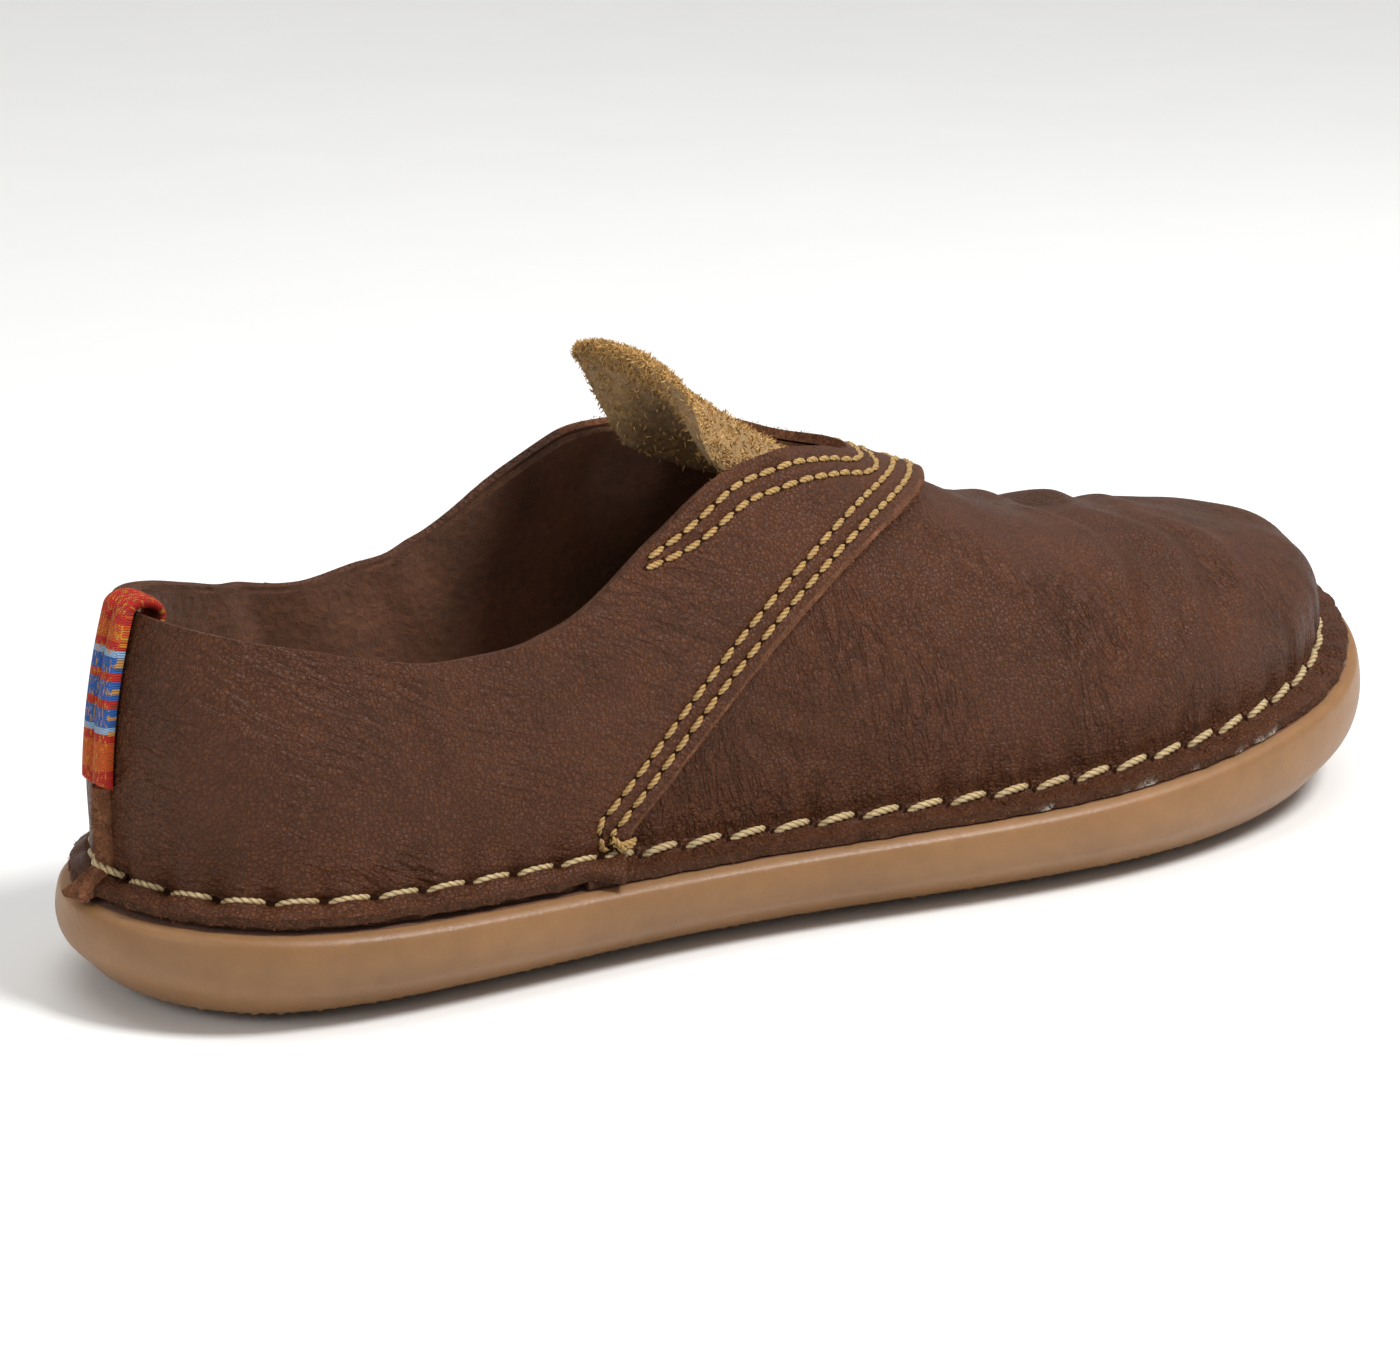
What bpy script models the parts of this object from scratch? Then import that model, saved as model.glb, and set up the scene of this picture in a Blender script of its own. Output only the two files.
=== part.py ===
"""Barefoot slip-on shoe for the right foot, unbent and standing on its sole.

Millimetres are used throughout and turned into metres when a mesh is made.
x runs from the heel to the toe, y to the inner side of the foot, z up from the floor.
The wall is one surface made of ribs: each rib climbs from the sole's rim to the ridge of the foot.
Upper, quarters and tongue are layers laid at set depths over or under that surface.
"""
import math
from collections import namedtuple

import bmesh
import bpy
import numpy as np

MM = 0.001

# driving sizes
GAP = 0.3
UPPER_WALL = 1.8
QUARTER_WALL = 2.0
RAW_EDGE_INSET = 3.4
FEATHER_INSET = 9.0
FEATHER_FILLET = 3.5
CUP_INSET = 11.1
INSOLE_INSET = 11.5
FLOOR_THICKNESS = 5.0
FOOTBED_CORNER = 1.2
INSOLE_THICKNESS = 3.0
INSOLE_LOW_BEVEL = 1.5
INSOLE_TOP_BEVEL = 0.6
TREAD_PAD = 1.2
TREAD_EDGE = 1.6
TOE_SPRING = 8.0
TOE_SPRING_START = 202.0
HEEL_LIFT = 2.0
HEEL_LIFT_END = 26.0
SEAM_HALF_WIDTH = 1.6
SEAM_HEIGHT = 1.8
TAB_WIDTH = 7.6
TAB_DROP = 30.0
TAB_THICKNESS = 2.8
TAB_INSIDE_DROP = 9.0
TAB_INSIDE_THICKNESS = 1.4
TAB_INSIDE_GAP = 0.9
TAB_ARCH = 3.4
TAB_ARCH_INSIDE = 1.4
TAB_ROUND = 0.8
TAB_GROOVE = 0.06
TAB_SEAM_GAP = 6.0
TONGUE_CLEARANCE = 1.5
TONGUE_THICKNESS = 3.0
TONGUE_FREE_FROM = 128.0
TONGUE_FREE_RUN = 12.0
TONGUE_FLATNESS = 0.6
FACING_CORNER = 3.2
FRONT_EDGE_FOOT = 2.82
FRONT_EDGE_TOP = 4.62
FRONT_EDGE_LEAN = 1.35
THROAT_FROM = 140.0
THROAT_TO = 170.0

# one row per rib, heel to toe: outline of the sole on both sides, height of the rim,
# upright and outward pull of the wall, place on the ridge, flatness of the wall's top
Rib = namedtuple("Rib", "name lat_x lat_y med_x med_y rim rise flare ridge reach")
RIBS = [
    Rib("heel back", 0.0, 0.0, 0.0, 0.0, 19.0, 47.0, 3.5, 52.0, 0.50),
    Rib("heel corner", 12.0, -27.0, 12.0, 27.0, 18.2, 46.0, 3.0, 56.0, 0.54),
    Rib("heel side", 45.0, -39.5, 45.0, 38.5, 16.6, 44.0, 2.0, 72.0, 0.62),
    Rib("waist", 98.0, -42.0, 102.0, 37.0, 15.6, 42.0, 1.0, 110.0, 0.64),
    Rib("mid", 145.0, -49.5, 150.0, 44.0, 15.8, 34.0, 1.5, 152.0, 0.62),
    Rib("ball", 193.0, -57.0, 203.0, 55.0, 17.4, 27.0, 2.5, 194.0, 0.62),
    Rib("toe side", 239.0, -50.5, 251.0, 51.0, 21.6, 19.0, 2.2, 228.0, 0.63),
    Rib("toe corner", 272.0, -27.5, 280.0, 36.5, 26.0, 14.0, 1.8, 245.0, 0.62),
    Rib("toe tip", 290.0, 10.0, 290.0, 10.0, 28.0, 12.0, 1.2, 250.0, 0.60),
]

# ridge of the foot from the ankle to the toe
Ridge = namedtuple("Ridge", "x y z")
RIDGE = [
    Ridge(50.0, 0.0, 112.0),
    Ridge(95.0, 0.0, 112.0),
    Ridge(112.0, 0.0, 106.0),
    Ridge(128.0, 0.0, 94.5),
    Ridge(145.0, 0.0, 83.5),
    Ridge(165.0, 0.0, 73.0),
    Ridge(190.0, 0.5, 63.0),
    Ridge(220.0, 2.5, 55.0),
    Ridge(250.0, 5.0, 49.5),
]

# opening of the shoe in side view: collar, facing and base of the throat
Opening = namedtuple("Opening", "x z")
OPENING = [
    Opening(10.0, 69.5),
    Opening(30.0, 65.0),
    Opening(58.0, 59.5),
    Opening(84.0, 63.5),
    Opening(103.0, 75.0),
    Opening(116.0, 81.5),
    Opening(130.0, 82.5),
    Opening(145.0, 79.8),
    Opening(158.0, 76.4),
    Opening(170.0, 79.0),
]

# section of the sole from its tread to its footbed: distance in from the outline,
# share of the rim's height, and height added to it
Wall = namedtuple("Wall", "name inset share lift")
SOLE_WALL = [
    Wall("tread flat", 17.0, 0.0, 0.0),
    Wall("tread curve", 11.5, 0.0, 0.5),
    Wall("tread edge", 7.6, 0.0, TREAD_EDGE),
    Wall("lip root", 7.3, 0.0, TREAD_EDGE + TREAD_PAD),
    Wall("wall low", 3.6, 0.22, 1.2),
    Wall("wall bulge low", 0.9, 0.42, 0.6),
    Wall("wall bulge", 0.0, 0.66, 0.0),
    Wall("wall high", 0.6, 0.88, 0.0),
    Wall("rim corner", 1.5, 1.0, -0.7),
    Wall("rim", 2.8, 1.0, 0.0),
    Wall("ledge", CUP_INSET, 1.0, 0.0),
]

# tongue from under the bridge to its free end
Tongue = namedtuple("Tongue", "ridge half_width")
TONGUE = [
    Tongue(174.0, 19.0),
    Tongue(160.0, 21.0),
    Tongue(145.0, 23.0),
    Tongue(132.0, 25.0),
    Tongue(123.0, 25.6),
    Tongue(117.5, 24.2),
    Tongue(114.5, 20.5),
    Tongue(113.0, 15.0),
]

LAST_RIB = len(RIBS) - 1
LOOP = 2 * LAST_RIB

COLOURS = {
    "outsole": (0.26, 0.14, 0.05),
    "insole": (0.42, 0.29, 0.12),
    "upper": (0.075, 0.032, 0.018),
    "quarters": (0.085, 0.036, 0.020),
    "tongue": (0.42, 0.29, 0.12),
    "heel_tab": (0.42, 0.06, 0.05),
}


def closed_spline(values):
    """Smooth periodic curve through values at whole numbers."""
    y = np.asarray(values, dtype=float)
    count = len(y)
    system = 4.0 * np.eye(count) + np.roll(np.eye(count), 1, axis=0) + np.roll(np.eye(count), -1, axis=0)
    slope = np.linalg.solve(system, 3.0 * (np.roll(y, -1) - np.roll(y, 1)))

    def value(w):
        base = np.floor(w)
        f = w - base
        i = base.astype(int) % count
        k = (i + 1) % count
        chord = y[k] - y[i]
        a = slope[i] - chord
        b = chord - slope[k]
        return y[i] + f * chord + f * (1.0 - f) * (a * (1.0 - f) + b * f)

    return value


def open_spline(xs, ys):
    """Smooth curve through the rows of a table, straight beyond its ends."""
    x = np.asarray(xs, dtype=float)
    y = np.asarray(ys, dtype=float)
    slope = np.gradient(y, x)

    def value(q):
        q = np.asarray(q, dtype=float)
        i = np.clip(np.searchsorted(x, q) - 1, 0, len(x) - 2)
        step = x[i + 1] - x[i]
        f = (q - x[i]) / step
        g = np.clip(f, 0.0, 1.0)
        chord = y[i + 1] - y[i]
        a = slope[i] * step - chord
        b = chord - slope[i + 1] * step
        inside = y[i] + g * chord + g * (1.0 - g) * (a * (1.0 - g) + b * g)
        return inside + np.where(f < 0.0, slope[i] * step * f, 0.0) \
            + np.where(f > 1.0, slope[i + 1] * step * (f - 1.0), 0.0)

    return value


def around(lateral, medial):
    """Column of the rib table as a closed curve: outer side heel to toe, inner side back."""
    outer = [getattr(rib, lateral) for rib in RIBS]
    inner = [getattr(rib, medial) for rib in RIBS[-2:0:-1]]
    return closed_spline(outer + inner)


edge_x = around("lat_x", "med_x")
edge_y = around("lat_y", "med_y")
rim_z = around("rim", "rim")
wall_rise = around("rise", "rise")
wall_flare = around("flare", "flare")
ridge_place = around("ridge", "ridge")
wall_reach = around("reach", "reach")
ridge_y = open_spline([r.x for r in RIDGE], [r.y for r in RIDGE])
ridge_z = open_spline([r.x for r in RIDGE], [r.z for r in RIDGE])
opening_z = open_spline([o.x for o in OPENING], [o.z for o in OPENING])

ALL_ROUND = np.linspace(0.0, LOOP, 721)
SHIFT_X = 0.5 * (edge_x(ALL_ROUND).max() + edge_x(ALL_ROUND).min())
SHIFT_Y = 0.5 * (edge_y(ALL_ROUND).max() + edge_y(ALL_ROUND).min())


def outward(w):
    """Unit vector pointing out of the sole's outline, in plan."""
    d = 1e-3
    tx = edge_x(w + d) - edge_x(w - d)
    ty = edge_y(w + d) - edge_y(w - d)
    size = np.hypot(tx, ty)
    return ty / size, -tx / size


def inset_point(w, inset):
    """Point of the outline moved inwards."""
    nx, ny = outward(w)
    return edge_x(w) - inset * nx, edge_y(w) - inset * ny


def sole_floor(x):
    """Height of the sole's underside: flat, lifted at the heel's back and sprung at the toe."""
    toe = np.clip((x - TOE_SPRING_START) / (edge_x(ALL_ROUND).max() - TOE_SPRING_START), 0.0, 1.0)
    heel = np.clip((HEEL_LIFT_END - x) / HEEL_LIFT_END, 0.0, 1.0)
    return TOE_SPRING * toe ** 2 + HEEL_LIFT * heel ** 2


def wall_surface(w, v):
    """Reference surface: v from -2 to -1 the flange, to 0 the feather's bend, to 1 the wall."""
    w = np.asarray(w, dtype=float)
    v = np.asarray(v, dtype=float)
    top = rim_z(w) + GAP + UPPER_WALL
    nx, ny = outward(w)
    bend_inset = FEATHER_INSET - FEATHER_FILLET
    flange = np.clip(v + 2.0, 0.0, 1.0)
    angle = 0.5 * math.pi * np.clip(v + 1.0, 0.0, 1.0)
    inset = RAW_EDGE_INSET + (bend_inset - RAW_EDGE_INSET) * flange + FEATHER_FILLET * np.sin(angle)
    low = np.stack([edge_x(w) - inset * nx, edge_y(w) - inset * ny,
                    top + FEATHER_FILLET * (1.0 - np.cos(angle))], axis=-1)
    t = np.clip(v, 0.0, 1.0)[..., None]
    place = ridge_place(w)
    ridge = np.stack([place, ridge_y(place), ridge_z(place)], axis=-1)
    slope = (ridge_z(place + 0.5) - ridge_z(place - 0.5))
    foot = np.stack([edge_x(w) - FEATHER_INSET * nx, edge_y(w) - FEATHER_INSET * ny,
                     top + FEATHER_FILLET], axis=-1)
    pull = np.stack([wall_flare(w) * nx, wall_flare(w) * ny, wall_rise(w)], axis=-1)
    span = foot - ridge
    reach = wall_reach(w)
    arm = np.stack([reach * span[..., 0], reach * span[..., 1], reach * span[..., 0] * slope], axis=-1)
    s = 1.0 - t
    lower = s ** 3 * foot + 3.0 * s * s * t * (foot + pull)
    high = lower + 3.0 * s * t * t * (ridge + arm) + t ** 3 * ridge
    return np.where((v <= 0.0)[..., None], low, high)


def wall_normal(w, v):
    """Unit normal of the reference surface, pointing out of the shoe."""
    d = 2e-3
    along = wall_surface(w + d, v) - wall_surface(w - d, v)
    up = wall_surface(w, np.minimum(v + d, 1.0)) - wall_surface(w, v - d)
    n = np.cross(along, up)
    place = ridge_place(w)
    slope = ridge_z(place + 0.5) - ridge_z(place - 0.5)
    ridge_n = np.stack([-slope, np.zeros_like(slope), np.ones_like(slope)], axis=-1)
    n = np.where((v >= 1.0)[..., None], ridge_n, n)
    return n / np.linalg.norm(n, axis=-1, keepdims=True)


def layer(w, v, depth):
    """Points at a depth over (plus) or under (minus) the reference surface."""
    depth = np.broadcast_to(np.asarray(depth, dtype=float), np.shape(w))
    return wall_surface(w, v) + depth[..., None] * wall_normal(w, v)


def opening_share(w):
    """Share of each rib's wall that is leather: 1 where the rib reaches the ridge."""
    w = np.asarray(w, dtype=float)
    grid = np.linspace(0.2, 1.0, 81)
    p = wall_surface(w[..., None] + np.zeros_like(grid), grid + np.zeros(w.shape + (1,)))
    over = p[..., 2] > opening_z(p[..., 0]) + 1e-9
    found = over.any(axis=-1)
    first = np.argmax(over, axis=-1)
    high = grid[first]
    low = grid[np.maximum(first - 1, 0)]
    for _ in range(40):
        mid = 0.5 * (low + high)
        p = wall_surface(w, mid)
        above = p[..., 2] > opening_z(p[..., 0])
        high = np.where(above, mid, high)
        low = np.where(above, low, mid)
    return np.where(found, high, 1.0)


def ridge_rib(place):
    """Rib number whose top lies at a place on the ridge."""
    s = np.linspace(0.0, LAST_RIB, 4001)
    return np.interp(place, ridge_place(s), s)


def throat_rib():
    """Rib number whose top is the base of the throat."""
    x = np.linspace(THROAT_FROM, THROAT_TO, 3001)
    return float(ridge_rib(x[np.argmax(opening_z(x) >= ridge_z(x))]))


def front_edge(b):
    """Rib number under the quarters' front edge, from the sole (b = 0) to the ridge (b = 1)."""
    return FRONT_EDGE_FOOT + (FRONT_EDGE_TOP - FRONT_EDGE_FOOT) * (1.0 - (1.0 - b) ** FRONT_EDGE_LEAN)


def even_steps(w, v, shares, side):
    """Rib number and v at shares of the length of a line on the wall."""
    p = wall_surface(LOOP - w if side else w, v)
    run = np.concatenate([[0.0], np.cumsum(np.linalg.norm(np.diff(p, axis=0), axis=1))])
    at = np.asarray(shares) * run[-1]
    return np.interp(at, run, w), np.interp(at, run, v)


THROAT = throat_rib()
FLANGE_ROWS = np.array([-2.0, -1.0, -0.66, -0.33, 0.0])
STRIP_ROWS = np.linspace(0.0, 1.0, 9)
SEAM_SHARE = SEAM_HALF_WIDTH / 100.0
BACK_COLUMNS = np.concatenate([[0.0, SEAM_SHARE, 1.25 * SEAM_SHARE], np.linspace(0.06, 1.0, 17)])
FRONT_COLUMNS = np.linspace(0.0, 1.0, 12)
VAMP_COLUMNS = np.linspace(0.0, 1.0, 17)


def leather_lines(side):
    """Lines that bound the quarters on one side, as rib numbers and v at the columns' places."""
    s = np.linspace(0.0, FACING_CORNER, 400)
    back_top = even_steps(s, opening_share(LOOP - s if side else s), BACK_COLUMNS, side)
    s = THROAT - (THROAT - FACING_CORNER) * np.linspace(1.0, 0.0, 600) ** 2
    share = opening_share(LOOP - s if side else s)
    share[-1] = 1.0
    front_top = even_steps(s, share, FRONT_COLUMNS, side)
    s = np.linspace(0.0, FRONT_EDGE_FOOT, 400)
    back_foot = even_steps(s, np.zeros_like(s), BACK_COLUMNS, side)
    t = np.linspace(0.0, 1.0, 400)
    front_foot = even_steps(front_edge(t), t, FRONT_COLUMNS, 0)
    return back_foot, back_top, front_foot, front_top


def strip(foot, top):
    """Grid of rib numbers and v from a lower line to an upper line."""
    b = STRIP_ROWS[:, None]
    return (1.0 - b) * foot[0] + b * top[0], (1.0 - b) * foot[1] + b * top[1]


def flange(s):
    """Grid of rib numbers and v over the flange and the feather's bend."""
    v = FLANGE_ROWS[:, None] + np.zeros_like(s)
    return np.broadcast_to(s, v.shape), v


class Sheet:
    """Leather laid on the wall: patches of rib number and v, welded where they meet."""

    def __init__(self):
        self.number = {}
        self.places = []
        self.tris = []

    def vertex(self, point, w, v):
        key = tuple(np.round(point * 2000.0).astype(int))
        if key not in self.number:
            self.number[key] = len(self.places)
            self.places.append((w, v))
        return self.number[key]

    def patch(self, s, v, side):
        """Add one grid of the outer side (0) or the inner side (1)."""
        w = LOOP - s[:, ::-1] if side else s
        v = v[:, ::-1] if side else v
        p = wall_surface(w, v)
        rows, columns = w.shape
        ids = [[self.vertex(p[i, k], w[i, k], v[i, k]) for k in range(columns)] for i in range(rows)]
        for i in range(rows - 1):
            for k in range(columns - 1):
                a, b, c, d = ids[i][k], ids[i][k + 1], ids[i + 1][k + 1], ids[i + 1][k]
                if np.linalg.norm(p[i, k] - p[i + 1, k + 1]) <= np.linalg.norm(p[i, k + 1] - p[i + 1, k]):
                    pair = [(a, b, c), (a, c, d)]
                else:
                    pair = [(a, b, d), (b, c, d)]
                self.tris.extend([t for t in pair if len(set(t)) == 3])

    def quarters(self):
        """Back of the shoe: flange, sides and bridge, both sides."""
        for side in (0, 1):
            back_foot, back_top, front_foot, front_top = leather_lines(side)
            self.patch(*flange(back_foot[0]), side)
            self.patch(*strip(back_foot, back_top), side)
            self.patch(*strip(front_foot, front_top), side)

    def vamp(self):
        """Front of the shoe: flange and forefoot, both sides."""
        for side in (0, 1):
            foot, share = leather_lines(side)[2]
            s = foot[:, None] + VAMP_COLUMNS[None, :] * (LAST_RIB - foot[:, None])
            self.patch(*flange(s[0]), side)
            self.patch(s, share[:, None] + np.zeros_like(s), side)

    def thicken(self, name, over, under):
        """Solid between two depths; the sheet's free edges become side faces."""
        w = np.array([place[0] for place in self.places])
        v = np.array([place[1] for place in self.places])
        solid = Solid(name)
        top = solid.add(layer(w, v, over(w, v)))
        low = solid.add(layer(w, v, under))
        sides = set()
        for a, b, c in self.tris:
            solid.faces.append([top[a], top[b], top[c]])
            solid.faces.append([low[c], low[b], low[a]])
            sides.update([(a, b), (b, c), (c, a)])
        for a, b in sorted(sides):
            if (b, a) not in sides:
                solid.faces.append([top[b], top[a], low[a], low[b]])
        return solid.make()


class Solid:
    """Gathers points and faces of one closed piece and makes the object."""

    def __init__(self, name):
        self.name = name
        self.points = []
        self.faces = []

    def add(self, grid):
        """Store a grid of points and return their numbers in the same layout."""
        start = len(self.points)
        flat = np.asarray(grid, dtype=float).reshape(-1, 3)
        self.points.extend(flat.tolist())
        return np.arange(start, start + len(flat)).reshape(np.shape(grid)[:-1])

    def quads(self, ids, closed=False, flip=False):
        """Faces over a grid of point numbers; closed joins the last column to the first."""
        rows, columns = ids.shape
        for i in range(rows - 1):
            for k in range(columns if closed else columns - 1):
                m = (k + 1) % columns
                face = [ids[i, k], ids[i, m], ids[i + 1, m], ids[i + 1, k]]
                self.faces.append(face[::-1] if flip else face)

    def make(self):
        """Weld, close and add the object to the scene."""
        bm = bmesh.new()
        shift = np.array([SHIFT_X, SHIFT_Y, 0.0])
        verts = [bm.verts.new(tuple((np.array(p) - shift) * MM)) for p in self.points]
        for face in self.faces:
            bm.faces.new([verts[i] for i in face])
        bmesh.ops.remove_doubles(bm, verts=bm.verts, dist=1e-6)
        bmesh.ops.triangulate(bm, faces=bm.faces)
        bmesh.ops.recalc_face_normals(bm, faces=bm.faces)
        mesh = bpy.data.meshes.new(self.name)
        bm.to_mesh(mesh)
        bm.free()
        obj = bpy.data.objects.new(self.name, mesh)
        bpy.context.collection.objects.link(obj)
        material = bpy.data.materials.new(self.name + "_material")
        material.use_nodes = True
        shader = material.node_tree.nodes["Principled BSDF"]
        shader.inputs["Base Color"].default_value = COLOURS[self.name] + (1.0,)
        shader.inputs["Roughness"].default_value = 0.6
        mesh.materials.append(material)
        return obj


def make_upper():
    """Hollow wall of the shoe, flanged out on the sole's rim, open at collar, throat and below."""
    sheet = Sheet()
    sheet.quarters()
    sheet.vamp()
    return sheet.thicken("upper", lambda w, v: np.zeros_like(w), -UPPER_WALL)


def quarter_depth(w, v):
    """Outer face of the quarters, with the raised seam down the heel as far as the tab."""
    tab_end = heel_line(np.array([TAB_DROP + TAB_SEAM_GAP]), 0.0)[0, 2]
    beside = np.minimum(w, LOOP - w)
    p = wall_surface(w, v)
    on_seam = (np.abs(p[:, 1]) < 1.1 * SEAM_HALF_WIDTH) & (beside < 0.5)
    raised = on_seam & (p[:, 2] < tab_end) & (v > -0.5)
    return GAP + QUARTER_WALL + np.where(raised, SEAM_HEIGHT, 0.0)


def make_quarters():
    """Horseshoe of leather over the upper, with the raised seam down the heel."""
    sheet = Sheet()
    sheet.quarters()
    return sheet.thicken("quarters", quarter_depth, GAP)


def ring_columns(first_half):
    """Columns of both sides as one loop: outer side heel to toe, inner side back."""
    return np.concatenate([first_half, LOOP - first_half[-2:0:-1]])


def ladder(solid, ring, flip):
    """Fill a ring of points with strips from the outer side to the inner side."""
    half = len(ring) // 2
    for k in range(half):
        a = ring[k]
        b = ring[k + 1]
        c = ring[(len(ring) - k - 1) % len(ring)]
        d = ring[(len(ring) - k) % len(ring)]
        face = []
        for i in (a, b, c, d):
            if i not in face:
                face.append(i)
        solid.faces.append(face if flip else face[::-1])


SOLE_STATIONS = np.concatenate([np.linspace(0.0, 2.0, 13), np.linspace(2.0, 6.0, 19)[1:],
                                np.linspace(6.0, 8.0, 13)[1:]])


def sole_rows(w):
    """Outside and ledge of the sole as rows of points round the loop."""
    rows = []
    for row in SOLE_WALL:
        x, y = inset_point(w, row.inset)
        ground = sole_floor(x)
        z = ground * (1.0 - row.share) + row.share * rim_z(w) + row.lift
        rows.append(np.stack([x, y, z], axis=-1))
    return rows


def footbed_row(w, inset, lift):
    """Ring of points over the cup's floor."""
    x, y = inset_point(w, inset)
    return np.stack([x, y, sole_floor(x) + FLOOR_THICKNESS + lift], axis=-1)


def make_outsole():
    """Gum cup: flat tread pad, lip, bulging wall, rim and footbed."""
    w = ring_columns(SOLE_STATIONS)
    solid = Solid("outsole")
    rows = sole_rows(w)
    rows.append(footbed_row(w, CUP_INSET, FOOTBED_CORNER))
    rows.append(footbed_row(w, CUP_INSET + FOOTBED_CORNER, 0.0))
    ids = solid.add(np.stack(rows))
    solid.quads(ids, closed=True)
    ladder(solid, list(ids[0]), False)
    ladder(solid, list(ids[-1]), True)
    return solid.make()


def make_insole():
    """Thin sock on the cup's floor."""
    w = ring_columns(SOLE_STATIONS)
    solid = Solid("insole")
    low = GAP
    high = GAP + INSOLE_THICKNESS
    rows = [
        footbed_row(w, INSOLE_INSET + INSOLE_LOW_BEVEL, low),
        footbed_row(w, INSOLE_INSET, low + INSOLE_LOW_BEVEL),
        footbed_row(w, INSOLE_INSET, high - INSOLE_TOP_BEVEL),
        footbed_row(w, INSOLE_INSET + INSOLE_TOP_BEVEL, high),
    ]
    ids = solid.add(np.stack(rows))
    solid.quads(ids, closed=True)
    ladder(solid, list(ids[0]), False)
    ladder(solid, list(ids[-1]), True)
    return solid.make()


def share_at_width(w, width):
    """v on a rib where the wall is a given distance from the ridge."""
    grid = np.linspace(1.0, 0.0, 401)
    p = wall_surface(np.full(grid.shape, w), grid)
    run = np.concatenate([[0.0], np.cumsum(np.linalg.norm(np.diff(p, axis=0), axis=1))])
    return np.interp(width, run, grid)


def make_tongue():
    """Curved pad under the throat, rounded at its free end."""
    across = np.linspace(-1.0, 1.0, 13)
    places = open_spline(np.arange(len(TONGUE)), [t.ridge for t in TONGUE])
    widths = open_spline(np.arange(len(TONGUE)), [t.half_width for t in TONGUE])
    along = np.linspace(0.0, len(TONGUE) - 1.0, 15)
    w = np.zeros((len(along), len(across)))
    v = np.zeros_like(w)
    lift = np.zeros(w.shape + (3,))
    for i, place in enumerate(along):
        s = float(ridge_rib(places(place)))
        for k, q in enumerate(across):
            w[i, k] = s if q <= 0.0 else LOOP - s
            v[i, k] = share_at_width(w[i, k], abs(q) * widths(place))
        free = np.clip((TONGUE_FREE_FROM - places(place)) / TONGUE_FREE_RUN, 0.0, 1.0)
        row = wall_surface(w[i], v[i])
        flat = row[len(across) // 2] + np.outer(across * widths(place), (0.0, 1.0, 0.0))
        lift[i] = TONGUE_FLATNESS * free * free * (3.0 - 2.0 * free) * (flat - row)
    solid = Solid("tongue")
    depth = -UPPER_WALL - TONGUE_CLEARANCE
    outer = solid.add(layer(w, v, depth) + lift)
    inner = solid.add(layer(w, v, depth - TONGUE_THICKNESS) + lift)
    solid.quads(outer)
    solid.quads(inner, flip=True)
    rows, columns = outer.shape
    for i in range(rows - 1):
        solid.faces.append([outer[i, 0], inner[i, 0], inner[i + 1, 0], outer[i + 1, 0]])
        solid.faces.append([outer[i, -1], outer[i + 1, -1], inner[i + 1, -1], inner[i, -1]])
    for k in range(columns - 1):
        solid.faces.append([outer[0, k], outer[0, k + 1], inner[0, k + 1], inner[0, k]])
        solid.faces.append([outer[-1, k], inner[-1, k], inner[-1, k + 1], outer[-1, k + 1]])
    return solid.make()


def heel_line(drop, depth):
    """Points of the heel's middle line at drops below the collar, at a depth over the wall."""
    top = float(opening_share(np.array([0.0]))[0])
    grid = np.linspace(top, -0.9, 400)
    p = wall_surface(np.zeros_like(grid), grid)
    run = np.concatenate([[0.0], np.cumsum(np.linalg.norm(np.diff(p, axis=0), axis=1))])
    v = np.interp(drop, run, grid)
    return layer(np.zeros_like(v), v, depth)


def make_heel_tab():
    """Strip of ribbon hooked over the collar at the heel seam."""
    outside = QUARTER_WALL + 2.0 * GAP
    inside = -UPPER_WALL - TAB_INSIDE_GAP
    down = np.linspace(TAB_DROP, 0.0, 9)
    shallow = np.linspace(0.0, TAB_INSIDE_DROP, 4)
    top = heel_line(np.array([0.0]), 0.0)[0]
    n = wall_normal(np.array([0.0]), opening_share(np.array([0.0])))[0]
    up = np.array([n[2], 0.0, -n[0]])
    up = up if up[2] > 0.0 else -up

    def arch(near, far, height):
        """Bend over the collar's edge from the outside depth to the inside depth."""
        points = []
        for turn in np.linspace(0.0, math.pi, 7)[1:-1]:
            depth = 0.5 * (near + far) + 0.5 * (near - far) * math.cos(turn)
            points.append(top + n * depth + up * height * math.sin(turn))
        return np.array(points)

    shell = np.vstack([
        heel_line(down, outside + TAB_THICKNESS),
        arch(outside + TAB_THICKNESS, inside - TAB_INSIDE_THICKNESS, TAB_ARCH),
        heel_line(shallow, inside - TAB_INSIDE_THICKNESS),
    ])
    core = np.vstack([
        heel_line(down, outside),
        arch(outside, inside, TAB_ARCH_INSIDE),
        heel_line(shallow, inside),
    ])
    solid = Solid("heel_tab")
    half = 0.5 * TAB_WIDTH
    skin = shell - TAB_ROUND * (shell - core) / np.linalg.norm(shell - core, axis=1, keepdims=True)
    loop = [
        core + np.array([0.0, -half, 0.0]),
        skin + np.array([0.0, -half, 0.0]),
        shell + np.array([0.0, -half + TAB_ROUND, 0.0]),
        (1.0 - TAB_GROOVE) * shell + TAB_GROOVE * core,
        shell + np.array([0.0, half - TAB_ROUND, 0.0]),
        skin + np.array([0.0, half, 0.0]),
        core + np.array([0.0, half, 0.0]),
    ]
    ids = solid.add(np.stack(loop, axis=1))
    solid.quads(ids, closed=True)
    solid.faces.append(list(ids[0]))
    solid.faces.append(list(ids[-1])[::-1])
    return solid.make()


def main():
    for obj in list(bpy.data.objects):
        bpy.data.objects.remove(obj, do_unlink=True)
    make_outsole()
    make_insole()
    make_upper()
    make_quarters()
    make_tongue()
    make_heel_tab()


main()
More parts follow.
